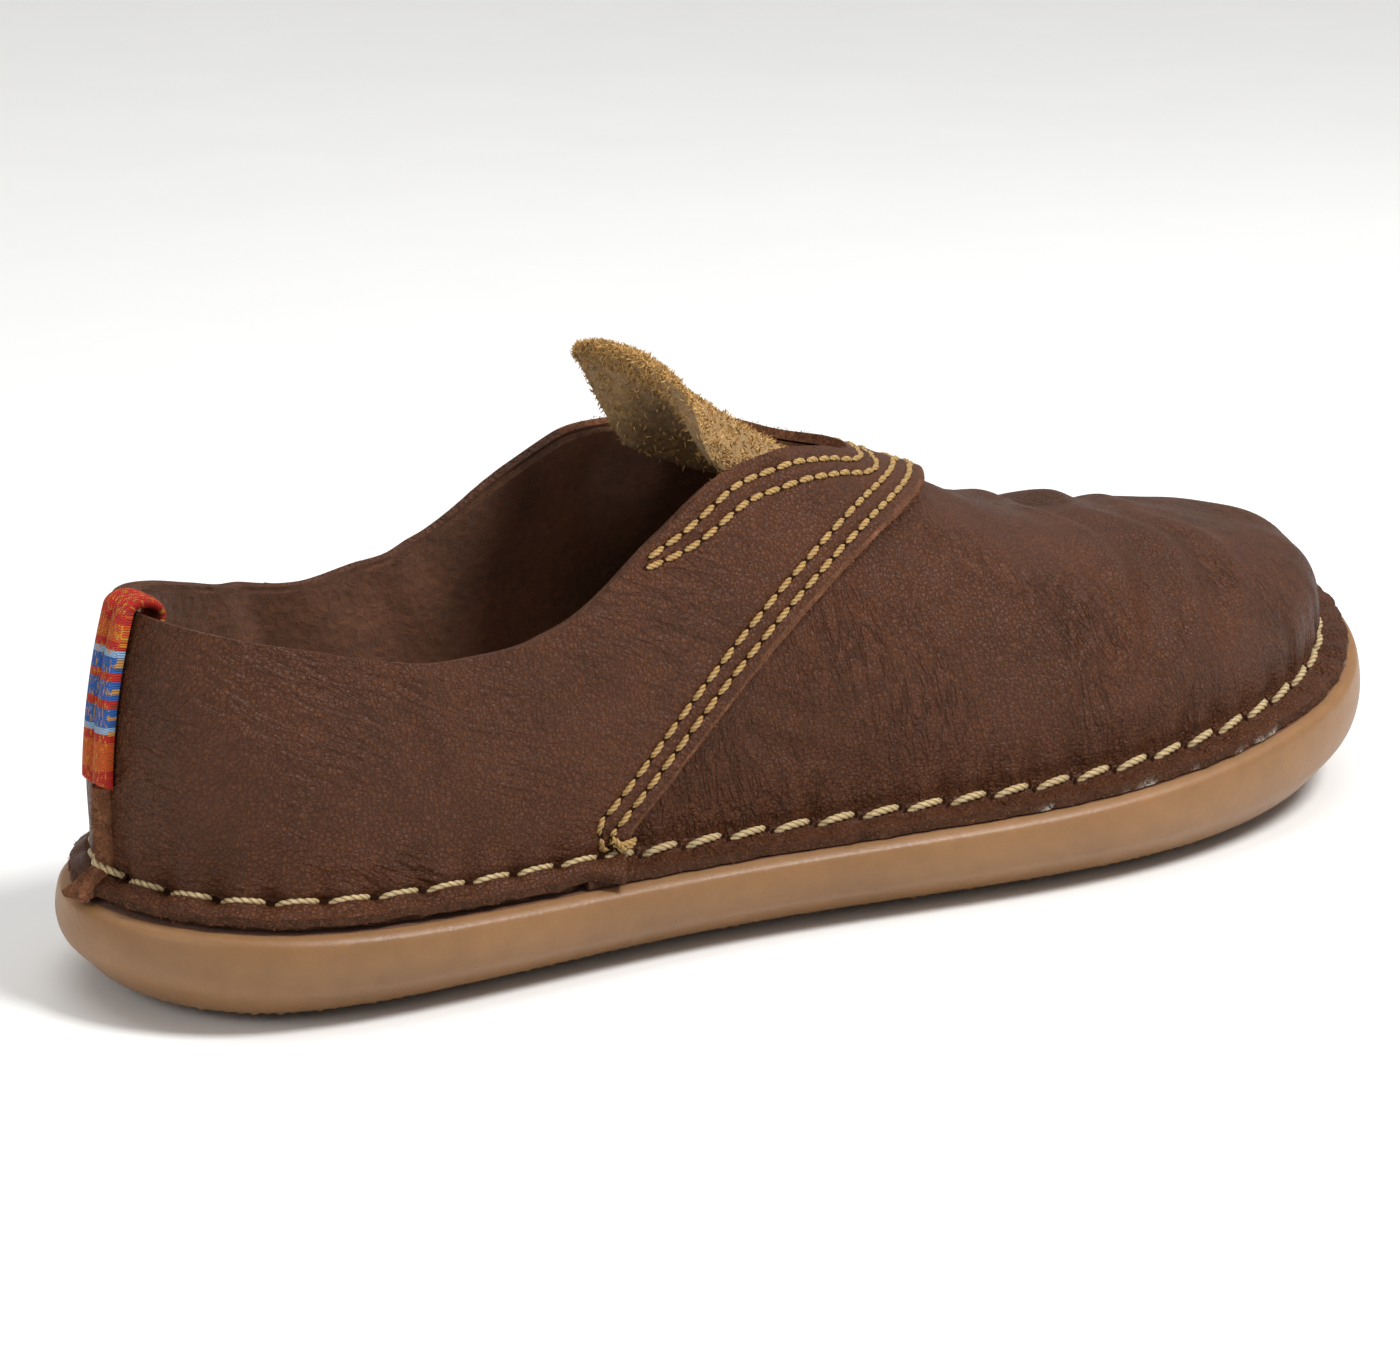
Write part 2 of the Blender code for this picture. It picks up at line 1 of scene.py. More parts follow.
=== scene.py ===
"""Looks of a barefoot slip-on shoe for the right foot, dressed over its solids.

Millimetres are used for shapes and turned into metres when a mesh is made.
x runs from the heel to the toe, y to the inner side of the foot, z up from the floor.
The leather lies on one surface of ribs: rib number w runs from the heel (0) along the outer side
to the toe (8) and back along the inner side (16), v climbs from the raw edge (-2) to the ridge (1).
"""
import functools
import math
from collections import namedtuple

import bpy
import numpy as np
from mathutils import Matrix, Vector


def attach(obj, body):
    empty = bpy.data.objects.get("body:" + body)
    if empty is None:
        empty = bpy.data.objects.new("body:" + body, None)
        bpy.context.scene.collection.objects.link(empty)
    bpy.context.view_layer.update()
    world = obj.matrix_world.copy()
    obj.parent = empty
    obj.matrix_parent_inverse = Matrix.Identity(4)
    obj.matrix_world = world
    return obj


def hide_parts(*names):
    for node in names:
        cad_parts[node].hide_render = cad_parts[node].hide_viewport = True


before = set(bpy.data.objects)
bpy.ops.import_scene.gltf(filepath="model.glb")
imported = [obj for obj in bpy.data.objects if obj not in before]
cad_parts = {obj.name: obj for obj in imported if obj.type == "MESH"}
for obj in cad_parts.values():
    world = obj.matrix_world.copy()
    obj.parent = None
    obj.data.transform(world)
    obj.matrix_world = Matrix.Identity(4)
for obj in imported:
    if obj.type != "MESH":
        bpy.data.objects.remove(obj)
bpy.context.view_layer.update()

bl_info = {
    "name": "Barefoot Shoe Looks",
    "version": (1, 0, 0),
    "blender": (4, 5, 0),
    "location": "View3D > Sidebar > Shoe",
    "description": "Dresses the solids of a barefoot shoe in leather, gum, suede, ribbon and thread",
    "category": "Add Mesh",
}

BODY = "root"
MM = 0.001

# sizes of the shoe, in millimetres
GAP = 0.3
UPPER_WALL = 1.8
QUARTER_WALL = 2.0
QUARTER_FACE = GAP + QUARTER_WALL
RAW_EDGE_INSET = 2.9
FEATHER_INSET = 9.0
FEATHER_FILLET = 3.5
CUP_INSET = 11.1
INSOLE_INSET = 11.5
FLOOR_THICKNESS = 5.0
FOOTBED_CORNER = 1.2
INSOLE_THICKNESS = 3.0
INSOLE_BEVEL = 0.8
TOE_SPRING = 8.0
TOE_SPRING_START = 202.0
HEEL_LIFT = 2.0
HEEL_LIFT_END = 26.0
TAB_WIDTH = 7.6
TAB_DROP = 30.0
TAB_THICKNESS = 2.8
TAB_INSIDE_DROP = 9.0
TAB_INSIDE_THICKNESS = 1.4
TAB_INSIDE_GAP = 0.9
TAB_ARCH = 3.4
TAB_ARCH_INSIDE = 1.4
YARN_PITCH = 0.62
WEFT_PITCH = 0.45
TONGUE_CLEARANCE = 1.5
TONGUE_THICKNESS = 3.0
TONGUE_FREE_FROM = 128.0
TONGUE_FREE_RUN = 12.0
THROAT_FROM = 140.0
THROAT_TO = 170.0
ROW_END = 1.3
CORD_GAP = 1.5
STITCH_GAP = 0.55
SEAM_STITCH_PITCH = 6.0
SEAM_STITCH_GAP = 2.0
SEAM_LIFT = 2.9
SEAM_HALF_WIDTH = 3.3
# reach of the lighter strip along the quarters' front edge: rubbed wear and a painted lit rim
RUBBED_AND_LIT_EDGE = 0.9
FRAY_RADIUS = 0.06
NAP_RADIUS = 0.16

# places on the wall, in rib numbers
FACING_CORNER = 3.2
FRONT_EDGE_FOOT = 2.82
FRONT_EDGE_TOP = 4.62
ROW_START = 2.86
VAMP_LAP = 0.16
SEAM_ROW = 0.14
CORNER_ROUND = 0.05
CORNER_REACH = 0.09
TIP_HALF_WIDTH = 0.06
GLUE_FROM = 4.2

# heights on the wall, in v, and shares
RIDGE_STOP = 0.93
LINING_TOP = 0.985
SEAM_ROW_END = -0.25
CORD_SHARE = -0.42
CORD_SLANT = 0.16
FRAY_SHARE = -1.97
SEAM_END = -2.85
EDGE_WANDER = 0.13
FRONT_EDGE_LEAN = 1.35
TONGUE_FLATNESS = 0.6

# relief of the leather, in millimetres: pinched at the cord's holes and swelling between them,
# pressed down under the rows of thread, drooping at the raw edge and uneven all over
PINCH_DEPTHS = (0.6, 1.25)
PINCH_HALF_WIDTH = 1.7
PINCH_REACH_UP = (4.0, 13.0)
PINCH_REACH_DOWN = 3.6
VALLEY_DEPTH = 0.55
VALLEY_HALF_WIDTH = 1.3
SWELL_HEIGHT = 0.45
SWELL_AWAY = 3.2
SWELL_HALF_WIDTH = 1.8
SWELL_GAP = 2.2
CHANNEL_DEPTH = 0.32
CHANNEL_HALF_WIDTH = 0.9
CHANNEL_BANK = 0.12
CHANNEL_BANK_AWAY = 1.8
CHANNEL_BANK_HALF_WIDTH = 0.8
EDGE_DROOP = 1.5
TIP_DROOP = 1.9

# unevenness: shortest and longest wave and their number, height as a share of the wave
UNDULATION_WAVES = (13.0, 55.0, 12)
UNDULATION = 0.0042

# threads: strands in each, share of the thickness left at a stitch's ends,
# and the strands' turn in radians along a millimetre
STRANDS = 3
STITCH_END = 0.55
CORD_TURN = 1.5
THREAD_TURN = 2.1

# nubs: reach of their grid, share of the pitch that one fills, depth of its foot in the gum
# and angles of its rings
NUB_GRID_LENGTH = 292.0
NUB_GRID_HALF_WIDTH = 60.0
NUB_WIDTH = 0.94
NUB_ROOT = 0.25
NUB_TURNS = (0.42, 0.95, 1.5)

# corners round one nub, stitch, hole and fibre
NUB_SIDES = 9
STITCH_SIDES = 12
HOLE_SIDES = 10
HAIR_SIDES = 3

# fibres on each cut edge and on the faces of the tongue
FRONT_FIBRES = 1500
FACING_FIBRES = 420
SEAM_FIBRES = 1000
FLANGE_FIBRES = 2400
OUTER_NAP_FIBRES = 10500
INNER_NAP_FIBRES = 2500

# material numbers of a sheet of leather
GRAIN_SIDE, FLESH_SIDE, CUT_EDGE, FLANGE_EDGE = range(4)

# colours that nothing else shares
DRIED_GLUE = (0.62, 0.56, 0.48)
SUEDE_SHADOW = (0.5, 0.45, 0.4)
RIBBON_ORANGE = (0.72, 0.11, 0.015)
RIBBON_PALE = (0.35, 0.55, 0.80)
RIBBON_GREEN = (0.05, 0.09, 0.03)
RIBBON_SHADOW = (0.5, 0.5, 0.5)
FLOOR_LIGHT = (0.90, 0.90, 0.89)
FLOOR_DARK = (0.86, 0.86, 0.85)

# seeds of everything uneven
Seeds = namedtuple("Seeds", "vamp lining pucker quarters undulation seam fray tongue nap sway seam_end glue")
SEEDS = Seeds(11, 12, 17, 21, 23, 31, 41, 51, 61, 77, 78, 91)

# section of the heel seam: offset to the inner side, depth over the wall
SEAM_PROFILE = (
    (-2.0, 1.6), (-2.05, 3.2), (-1.7, 4.2), (-1.0, 4.7), (-0.2, 4.65),
    (0.7, 4.3), (1.6, 3.6), (2.5, 2.6), (2.6, 1.6),
)

# stitches that lock the front rows: distance from the end of the first row and of the second
BACK_TACKS = ((0.2, 0.9), (2.2, 0.4), (1.0, 3.0), (3.6, 3.2))

# one row per rib, heel to toe: outline of the sole on both sides, height of the rim,
# upright and outward pull of the wall, place on the ridge, flatness of the wall's top
Rib = namedtuple("Rib", "name lat_x lat_y med_x med_y rim rise flare ridge reach")
RIBS = [
    Rib("heel back", 0.0, 0.0, 0.0, 0.0, 19.0, 47.0, 3.5, 52.0, 0.50),
    Rib("heel corner", 12.0, -27.0, 12.0, 27.0, 18.2, 46.0, 3.0, 56.0, 0.54),
    Rib("heel side", 45.0, -39.5, 45.0, 38.5, 16.6, 44.0, 2.0, 72.0, 0.62),
    Rib("waist", 98.0, -42.0, 102.0, 37.0, 15.6, 42.0, 1.0, 110.0, 0.64),
    Rib("mid", 145.0, -49.5, 150.0, 44.0, 15.8, 34.0, 1.5, 152.0, 0.62),
    Rib("ball", 193.0, -57.0, 203.0, 55.0, 17.4, 27.0, 2.5, 194.0, 0.62),
    Rib("toe side", 239.0, -50.5, 251.0, 51.0, 21.6, 19.0, 2.2, 228.0, 0.63),
    Rib("toe corner", 272.0, -27.5, 280.0, 36.5, 26.0, 14.0, 1.8, 245.0, 0.62),
    Rib("toe tip", 290.0, 10.0, 290.0, 10.0, 28.0, 12.0, 1.2, 250.0, 0.60),
]

# ridge of the foot from the ankle to the toe
Ridge = namedtuple("Ridge", "x y z")
RIDGE = [
    Ridge(50.0, 0.0, 112.0),
    Ridge(95.0, 0.0, 112.0),
    Ridge(112.0, 0.0, 106.0),
    Ridge(128.0, 0.0, 94.5),
    Ridge(145.0, 0.0, 83.5),
    Ridge(165.0, 0.0, 73.0),
    Ridge(190.0, 0.5, 63.0),
    Ridge(220.0, 2.5, 55.0),
    Ridge(250.0, 5.0, 49.5),
]

# opening of the shoe in side view: collar, facing and base of the throat
Opening = namedtuple("Opening", "x z")
OPENING = [
    Opening(10.0, 69.5),
    Opening(30.0, 65.0),
    Opening(58.0, 59.5),
    Opening(84.0, 63.5),
    Opening(103.0, 75.0),
    Opening(116.0, 81.5),
    Opening(130.0, 82.5),
    Opening(145.0, 79.8),
    Opening(158.0, 76.4),
    Opening(170.0, 79.0),
]

# section of the gum cup from the floor of its tread to its rim: distance in from the outline,
# share of the rim's height, and height added to it
Wall = namedtuple("Wall", "name inset share lift")
TREAD = [
    Wall("tread flat", 17.0, 0.0, 0.0),
    Wall("tread curve", 11.5, 0.0, 0.5),
    Wall("tread edge", 7.6, 0.0, 1.6),
]
GUM_WALL = [
    Wall("lip root", 7.2, 0.0, 3.0),
    Wall("lip", 6.5, 0.02, 2.1),
    Wall("wall low", 3.6, 0.22, 1.2),
    Wall("wall bulge low", 0.9, 0.42, 0.6),
    Wall("wall bulge", 0.0, 0.66, 0.0),
    Wall("wall high", 0.5, 0.88, 0.0),
    Wall("rim corner", 1.3, 1.0, -0.7),
    Wall("rim", 2.8, 1.0, 0.0),
]

# tongue from under the bridge to its free end
Tongue = namedtuple("Tongue", "ridge half_width")
TONGUE = [
    Tongue(174.0, 19.0),
    Tongue(160.0, 21.0),
    Tongue(145.0, 23.0),
    Tongue(132.0, 25.0),
    Tongue(123.0, 25.6),
    Tongue(117.5, 24.2),
    Tongue(114.5, 20.5),
    Tongue(113.0, 15.0),
]

# creases on each side: ends of the line on the wall, bow of the line in rib numbers, depth and half width
Crease = namedtuple("Crease", "name w_from v_from w_to v_to bow depth half_width")
CREASES = [
    Crease("ball", 5.05, 0.22, 5.55, 1.0, 0.16, 1.9, 4.4),
    Crease("ball second", 5.55, 0.30, 6.10, 0.97, 0.14, 1.3, 3.4),
    Crease("ball low", 4.75, 0.10, 5.10, 0.62, 0.10, 0.9, 2.8),
    Crease("waist fold", 2.10, 0.60, 2.55, 0.10, -0.12, 1.6, 5.4),
    Crease("waist second", 2.42, 0.58, 2.82, 0.16, -0.10, 0.8, 2.8),
    Crease("waist third", 1.86, 0.46, 2.22, 0.08, -0.08, 0.6, 2.6),
    Crease("collar fold", 1.55, 0.58, 1.85, 0.16, 0.10, 0.8, 5.0),
    Crease("counter", 0.30, 0.34, 1.35, 0.26, 0.0, 0.6, 5.0),
    Crease("instep", 3.05, 0.66, 3.75, 0.52, 0.0, 0.7, 4.0),
]
CREASE_POINTS = 41
# fine folds that fan out from the quarters' front edge over the vamp, in shares of the edge's height
FAN_COUNT = 9
FAN_FROM = 0.16
FAN_TO = 0.66
FAN_REACH = 0.62
FAN_FALL = 0.10
FAN_DEPTH = 0.5
FAN_HALF_WIDTH = 1.5

HEEL_RIB_WIDTH = math.hypot(RIBS[1].lat_x, RIBS[1].lat_y)
LAST_RIB = len(RIBS) - 1
LOOP = 2 * LAST_RIB


class ShoeSizes(bpy.types.PropertyGroup):
    """Sizes of the sewing, the tread and the nap."""

    nub_pitch: bpy.props.FloatProperty(
        name="Nub pitch", description="Distance between the nubs of the tread",
        default=0.0026, unit="LENGTH")
    nub_height: bpy.props.FloatProperty(
        name="Nub height", description="Height of a nub over the tread's floor",
        default=0.0012, unit="LENGTH")
    cord_pitch: bpy.props.FloatProperty(
        name="Cord pitch", description="Distance between holes of the rim's cord",
        default=0.0089, unit="LENGTH")
    cord_thickness: bpy.props.FloatProperty(
        name="Cord thickness", description="Thickness of the rim's cord",
        default=0.00135, unit="LENGTH")
    stitch_pitch: bpy.props.FloatProperty(
        name="Stitch pitch", description="Distance between holes of the upper's rows",
        default=0.0042, unit="LENGTH")
    thread_thickness: bpy.props.FloatProperty(
        name="Thread thickness", description="Thickness of the upper's thread",
        default=0.00105, unit="LENGTH")
    row_inset: bpy.props.FloatProperty(
        name="Row inset", description="Distance from the leather's edge to the first row",
        default=0.0031, unit="LENGTH")
    row_gap: bpy.props.FloatProperty(
        name="Row gap", description="Distance between the two rows of stitches",
        default=0.0034, unit="LENGTH")
    nap_length: bpy.props.FloatProperty(
        name="Nap length", description="Length of the tongue's suede fibres",
        default=0.0012, unit="LENGTH")
    fray_length: bpy.props.FloatProperty(
        name="Fray length", description="Length of the fibres on cut leather",
        default=0.00065, unit="LENGTH")


class ShoeColours(bpy.types.PropertyGroup):
    """Colours of the shoe's materials."""

    leather: bpy.props.FloatVectorProperty(
        name="Leather", description="Ground colour of the leather",
        subtype="COLOR", default=(0.083, 0.0255, 0.0082))
    fleck: bpy.props.FloatVectorProperty(
        name="Fleck", description="Lighter flecks of the leather",
        subtype="COLOR", default=(0.170, 0.062, 0.022))
    cut_edge: bpy.props.FloatVectorProperty(
        name="Cut edge", description="Fibrous cut edge of the leather",
        subtype="COLOR", default=(0.185, 0.075, 0.036))
    gum: bpy.props.FloatVectorProperty(
        name="Gum", description="Gum rubber of the sole",
        subtype="COLOR", default=(0.250, 0.126, 0.050))
    suede: bpy.props.FloatVectorProperty(
        name="Suede", description="Tan suede of tongue and insole",
        subtype="COLOR", default=(0.52, 0.315, 0.115))
    cord: bpy.props.FloatVectorProperty(
        name="Cord", description="Cream cord of the rim",
        subtype="COLOR", default=(0.72, 0.54, 0.29))
    thread: bpy.props.FloatVectorProperty(
        name="Thread", description="Golden thread of the upper",
        subtype="COLOR", default=(0.60, 0.37, 0.125))
    ribbon_warm: bpy.props.FloatVectorProperty(
        name="Ribbon red", description="Red yarn of the heel ribbon",
        subtype="COLOR", default=(0.60, 0.025, 0.015))
    ribbon_cool: bpy.props.FloatVectorProperty(
        name="Ribbon blue", description="Blue yarn of the heel ribbon",
        subtype="COLOR", default=(0.03, 0.14, 0.50))
    ribbon_light: bpy.props.FloatVectorProperty(
        name="Ribbon yellow", description="Yellow yarn of the heel ribbon",
        subtype="COLOR", default=(0.75, 0.36, 0.03))


def millimetres(value):
    """A length property in the unit of the shapes."""
    return value / MM


def unit(vectors):
    """Vectors of length 1."""
    return vectors / np.linalg.norm(vectors, axis=-1, keepdims=True)


def bell(distance, half_width):
    """Soft bump of height 1."""
    return np.exp(-(distance / half_width) ** 2)


def closed_spline(values):
    """Smooth periodic curve through values at whole numbers."""
    y = np.asarray(values, dtype=float)
    count = len(y)
    system = 4.0 * np.eye(count) + np.roll(np.eye(count), 1, axis=0) + np.roll(np.eye(count), -1, axis=0)
    slope = np.linalg.solve(system, 3.0 * (np.roll(y, -1) - np.roll(y, 1)))

    def value(w):
        base = np.floor(w)
        f = w - base
        i = base.astype(int) % count
        k = (i + 1) % count
        chord = y[k] - y[i]
        a = slope[i] - chord
        b = chord - slope[k]
        return y[i] + f * chord + f * (1.0 - f) * (a * (1.0 - f) + b * f)

    return value


def open_spline(xs, ys):
    """Smooth curve through the rows of a table, straight beyond its ends."""
    x = np.asarray(xs, dtype=float)
    y = np.asarray(ys, dtype=float)
    slope = np.gradient(y, x)

    def value(q):
        q = np.asarray(q, dtype=float)
        i = np.clip(np.searchsorted(x, q) - 1, 0, len(x) - 2)
        step = x[i + 1] - x[i]
        f = (q - x[i]) / step
        g = np.clip(f, 0.0, 1.0)
        chord = y[i + 1] - y[i]
        a = slope[i] * step - chord
        b = chord - slope[i + 1] * step
        inside = y[i] + g * chord + g * (1.0 - g) * (a * (1.0 - g) + b * g)
        return inside + np.where(f < 0.0, slope[i] * step * f, 0.0) \
            + np.where(f > 1.0, slope[i + 1] * step * (f - 1.0), 0.0)

    return value


def around(lateral, medial):
    """Column of the rib table as a closed curve: outer side heel to toe, inner side back."""
    outer = [getattr(rib, lateral) for rib in RIBS]
    inner = [getattr(rib, medial) for rib in RIBS[-2:0:-1]]
    return closed_spline(outer + inner)


edge_x = around("lat_x", "med_x")
edge_y = around("lat_y", "med_y")
rim_z = around("rim", "rim")
wall_rise = around("rise", "rise")
wall_flare = around("flare", "flare")
ridge_place = around("ridge", "ridge")
wall_reach = around("reach", "reach")
ridge_y = open_spline([r.x for r in RIDGE], [r.y for r in RIDGE])
ridge_z = open_spline([r.x for r in RIDGE], [r.z for r in RIDGE])
opening_z = open_spline([o.x for o in OPENING], [o.z for o in OPENING])

ALL_ROUND = np.linspace(0.0, LOOP, 721)
SHIFT = np.array([0.5 * (edge_x(ALL_ROUND).max() + edge_x(ALL_ROUND).min()),
                  0.5 * (edge_y(ALL_ROUND).max() + edge_y(ALL_ROUND).min()), 0.0])


def outward(w):
    """Unit vector pointing out of the sole's outline, in plan."""
    d = 1e-3
    tx = edge_x(w + d) - edge_x(w - d)
    ty = edge_y(w + d) - edge_y(w - d)
    size = np.hypot(tx, ty)
    return ty / size, -tx / size


def inset_point(w, inset):
    """Point of the outline moved inwards."""
    nx, ny = outward(w)
    return edge_x(w) - inset * nx, edge_y(w) - inset * ny


def sole_floor(x):
    """Height of the sole's underside: flat, lifted at the heel's back and sprung at the toe."""
    toe = np.clip((x - TOE_SPRING_START) / (edge_x(ALL_ROUND).max() - TOE_SPRING_START), 0.0, 1.0)
    heel = np.clip((HEEL_LIFT_END - x) / HEEL_LIFT_END, 0.0, 1.0)
    return TOE_SPRING * toe ** 2 + HEEL_LIFT * heel ** 2


def wall_surface(w, v):
    """Reference surface: v up to -1 the flange, to 0 the feather's bend, to 1 the wall."""
    w = np.asarray(w, dtype=float)
    v = np.asarray(v, dtype=float)
    top = rim_z(w) + GAP + UPPER_WALL
    nx, ny = outward(w)
    bend_inset = FEATHER_INSET - FEATHER_FILLET
    flange = np.minimum(v + 2.0, 1.0)
    angle = 0.5 * math.pi * np.clip(v + 1.0, 0.0, 1.0)
    inset = RAW_EDGE_INSET + (bend_inset - RAW_EDGE_INSET) * flange + FEATHER_FILLET * np.sin(angle)
    low = np.stack([edge_x(w) - inset * nx, edge_y(w) - inset * ny,
                    top + FEATHER_FILLET * (1.0 - np.cos(angle))], axis=-1)
    t = np.clip(v, 0.0, 1.0)[..., None]
    place = ridge_place(w)
    ridge = np.stack([place, ridge_y(place), ridge_z(place)], axis=-1)
    slope = ridge_z(place + 0.5) - ridge_z(place - 0.5)
    foot = np.stack([edge_x(w) - FEATHER_INSET * nx, edge_y(w) - FEATHER_INSET * ny,
                     top + FEATHER_FILLET], axis=-1)
    pull = np.stack([wall_flare(w) * nx, wall_flare(w) * ny, wall_rise(w)], axis=-1)
    span = foot - ridge
    reach = wall_reach(w)
    arm = np.stack([reach * span[..., 0], reach * span[..., 1], reach * span[..., 0] * slope], axis=-1)
    s = 1.0 - t
    lower = s ** 3 * foot + 3.0 * s * s * t * (foot + pull)
    high = lower + 3.0 * s * t * t * (ridge + arm) + t ** 3 * ridge
    return np.where((v <= 0.0)[..., None], low, high)


def wall_normal(w, v):
    """Unit normal of the reference surface, pointing out of the shoe."""
    d = 2e-3
    along = wall_surface(w + d, v) - wall_surface(w - d, v)
    up = wall_surface(w, np.minimum(v + d, 1.0)) - wall_surface(w, v - d)
    n = np.cross(along, up)
    place = ridge_place(w)
    slope = ridge_z(place + 0.5) - ridge_z(place - 0.5)
    ridge_n = np.stack([-slope, np.zeros_like(slope), np.ones_like(slope)], axis=-1)
    return unit(np.where((v >= 1.0)[..., None], ridge_n, n))


def layer(w, v, depth):
    """Points at a depth over (plus) or under (minus) the reference surface."""
    depth = np.broadcast_to(np.asarray(depth, dtype=float), np.shape(w))
    return wall_surface(w, v) + depth[..., None] * wall_normal(w, v)


def opening_share(w):
    """Share of each rib's wall that is leather: 1 where the rib reaches the ridge."""
    w = np.asarray(w, dtype=float)
    grid = np.linspace(0.2, 1.0, 81)
    p = wall_surface(w[..., None] + np.zeros_like(grid), grid + np.zeros(w.shape + (1,)))
    over = p[..., 2] > opening_z(p[..., 0]) + 1e-9
    found = over.any(axis=-1)
    first = np.argmax(over, axis=-1)
    high = grid[first]
    low = grid[np.maximum(first - 1, 0)]
    for _ in range(40):
        mid = 0.5 * (low + high)
        p = wall_surface(w, mid)
        above = p[..., 2] > opening_z(p[..., 0])
        high = np.where(above, mid, high)
        low = np.where(above, low, mid)
    return np.where(found, high, 1.0)


def ridge_rib(place):
    """Rib number whose top lies at a place on the ridge."""
    s = np.linspace(0.0, LAST_RIB, 4001)
    return np.interp(place, ridge_place(s), s)


def throat_rib():
    """Rib number whose top is the base of the throat."""
    x = np.linspace(THROAT_FROM, THROAT_TO, 3001)
    return float(ridge_rib(x[np.argmax(opening_z(x) >= ridge_z(x))]))


def front_edge(b):
    """Rib number under the quarters' front edge, from the sole (b = 0) to the ridge (b = 1)."""
    return FRONT_EDGE_FOOT + (FRONT_EDGE_TOP - FRONT_EDGE_FOOT) * (1.0 - (1.0 - b) ** FRONT_EDGE_LEAN)


THROAT = throat_rib()


def run_length(points):
    """Distance travelled along a line of points."""
    return np.concatenate([[0.0], np.cumsum(np.linalg.norm(np.diff(points, axis=0), axis=1))])


class Line:
    """A line on the wall, measured along its length."""

    def __init__(self, w, v):
        self.w = np.asarray(w, dtype=float)
        self.v = np.asarray(v, dtype=float)
        self.run = run_length(wall_surface(self.w, self.v))
        self.length = self.run[-1]

    def at(self, u):
        """Rib numbers and v at distances along the line, which may cross the ridge once."""
        after = np.clip(np.searchsorted(self.run, u), 1, len(self.run) - 1)
        over_ridge = np.abs(self.w[after] - self.w[after - 1]) > 1.0
        w = np.where(over_ridge, self.w[after], np.interp(u, self.run, self.w))
        return w, np.interp(u, self.run, self.v)

    def steps(self, shares):
        """Rib numbers and v at shares of the line's length."""
        return self.at(np.asarray(shares) * self.length)


def beside(w, v, distance):
    """Line on the wall to the left of another one, at a distance from it."""
    rounds = 4
    d = 1e-3
    for _ in range(rounds):
        p = wall_surface(w, v)
        side = unit(np.cross(wall_normal(w, v), np.gradient(p, axis=0)))
        by_w = (wall_surface(w + d, v) - wall_surface(w - d, v)) / (2.0 * d)
        middle = np.minimum(v, 1.0 - d)
        by_v = (wall_surface(w, middle + d) - wall_surface(w, middle - d)) / (2.0 * d)
        move = side * np.broadcast_to(distance, v.shape)[:, None] / rounds
        a = (by_w * by_w).sum(axis=1)
        b = (by_w * by_v).sum(axis=1)
        c = (by_v * by_v).sum(axis=1)
        e = (by_w * move).sum(axis=1)
        f = (by_v * move).sum(axis=1)
        w = w + (c * e - b * f) / (a * c - b * b)
        v = np.minimum(v + (a * f - b * e) / (a * c - b * b), 1.0)
    return w, v


def mirrored(w, side):
    """Rib number on the outer side (0) or the inner side (1)."""
    return LOOP - w if side else w


def from_heel(w):
    """Rib number counted from the heel, on whichever side it lies."""
    return np.minimum(w, LOOP - w)


def facing_line(side, start=FACING_CORNER):
    """Edge of the facing from its corner to the base of the throat, on one side."""
    s = THROAT - (THROAT - start) * np.linspace(1.0, 0.0, 600) ** 2
    share = opening_share(mirrored(s, side))
    share[-1] = 1.0
    return mirrored(s, side), share


def over_ridge(halves):
    """Line from the outer side over the ridge to the inner side, bridged between two halves."""
    ends = []
    kept = []
    for side, (w, v) in enumerate(halves):
        stop = int(np.argmax(v > RIDGE_STOP)) if (v > RIDGE_STOP).any() else len(v)
        w = w[:stop]
        v = v[:stop]
        slope = (w[-1] - w[-12]) / (v[-1] - v[-12])
        ends.append(mirrored(w[-1] + slope * (1.0 - v[-1]), side))
        kept.append((w, v))
    top = 0.5 * (ends[0] + ends[1])
    share = np.linspace(0.0, 1.0, 40)[1:]
    bridged = []
    for side, (w, v) in enumerate(kept):
        ease = share * (2.0 - share)
        rise = v[-1] + (1.0 - v[-1]) * share
        bridged.append((np.append(w, w[-1] + (mirrored(top, side) - w[-1]) * ease), np.append(v, rise)))
    w = np.concatenate([bridged[0][0], bridged[1][0][::-1]])
    return Line(w, np.concatenate([bridged[0][1], bridged[1][1][::-1]]))


@functools.lru_cache(maxsize=None)
def front_rows(inset, gap):
    """Two rows of stitches behind the quarters' front edge, from side to side."""
    t = np.linspace(0.0, 1.0, 600)
    lines = []
    for distance in (inset, inset + gap):
        outer = beside(front_edge(t), t, distance)
        inner = beside(mirrored(front_edge(t), 1), t, -distance)
        lines.append(over_ridge([outer, inner]))
    return lines


@functools.lru_cache(maxsize=None)
def throat_rows(inset, gap):
    """Two rows of stitches round the throat, running out to the edge behind the facing's corners."""
    lines = []
    for distance in (inset, inset + gap):
        halves = []
        for side in (0, 1):
            w, v = facing_line(side, ROW_START)
            away = np.clip((mirrored(w, side) - ROW_START) / (FACING_CORNER - ROW_START), 0.0, 1.0)
            reach = distance * (1.0 - (1.0 - away) ** 2)
            w, v = beside(w, v, reach if side else -reach)
            halves.append((w[reach > ROW_END], v[reach > ROW_END]))
        lines.append(over_ridge(halves))
    return lines


@functools.lru_cache(maxsize=None)
def rim_line():
    """Line of the cord stitches round the foot of the wall."""
    w = np.linspace(0.0, LOOP, 2401)
    return Line(w, np.full_like(w, CORD_SHARE))


def rim_run(w):
    """Distance from the heel along the line of the cord."""
    return np.interp(w, rim_line().w, rim_line().run)


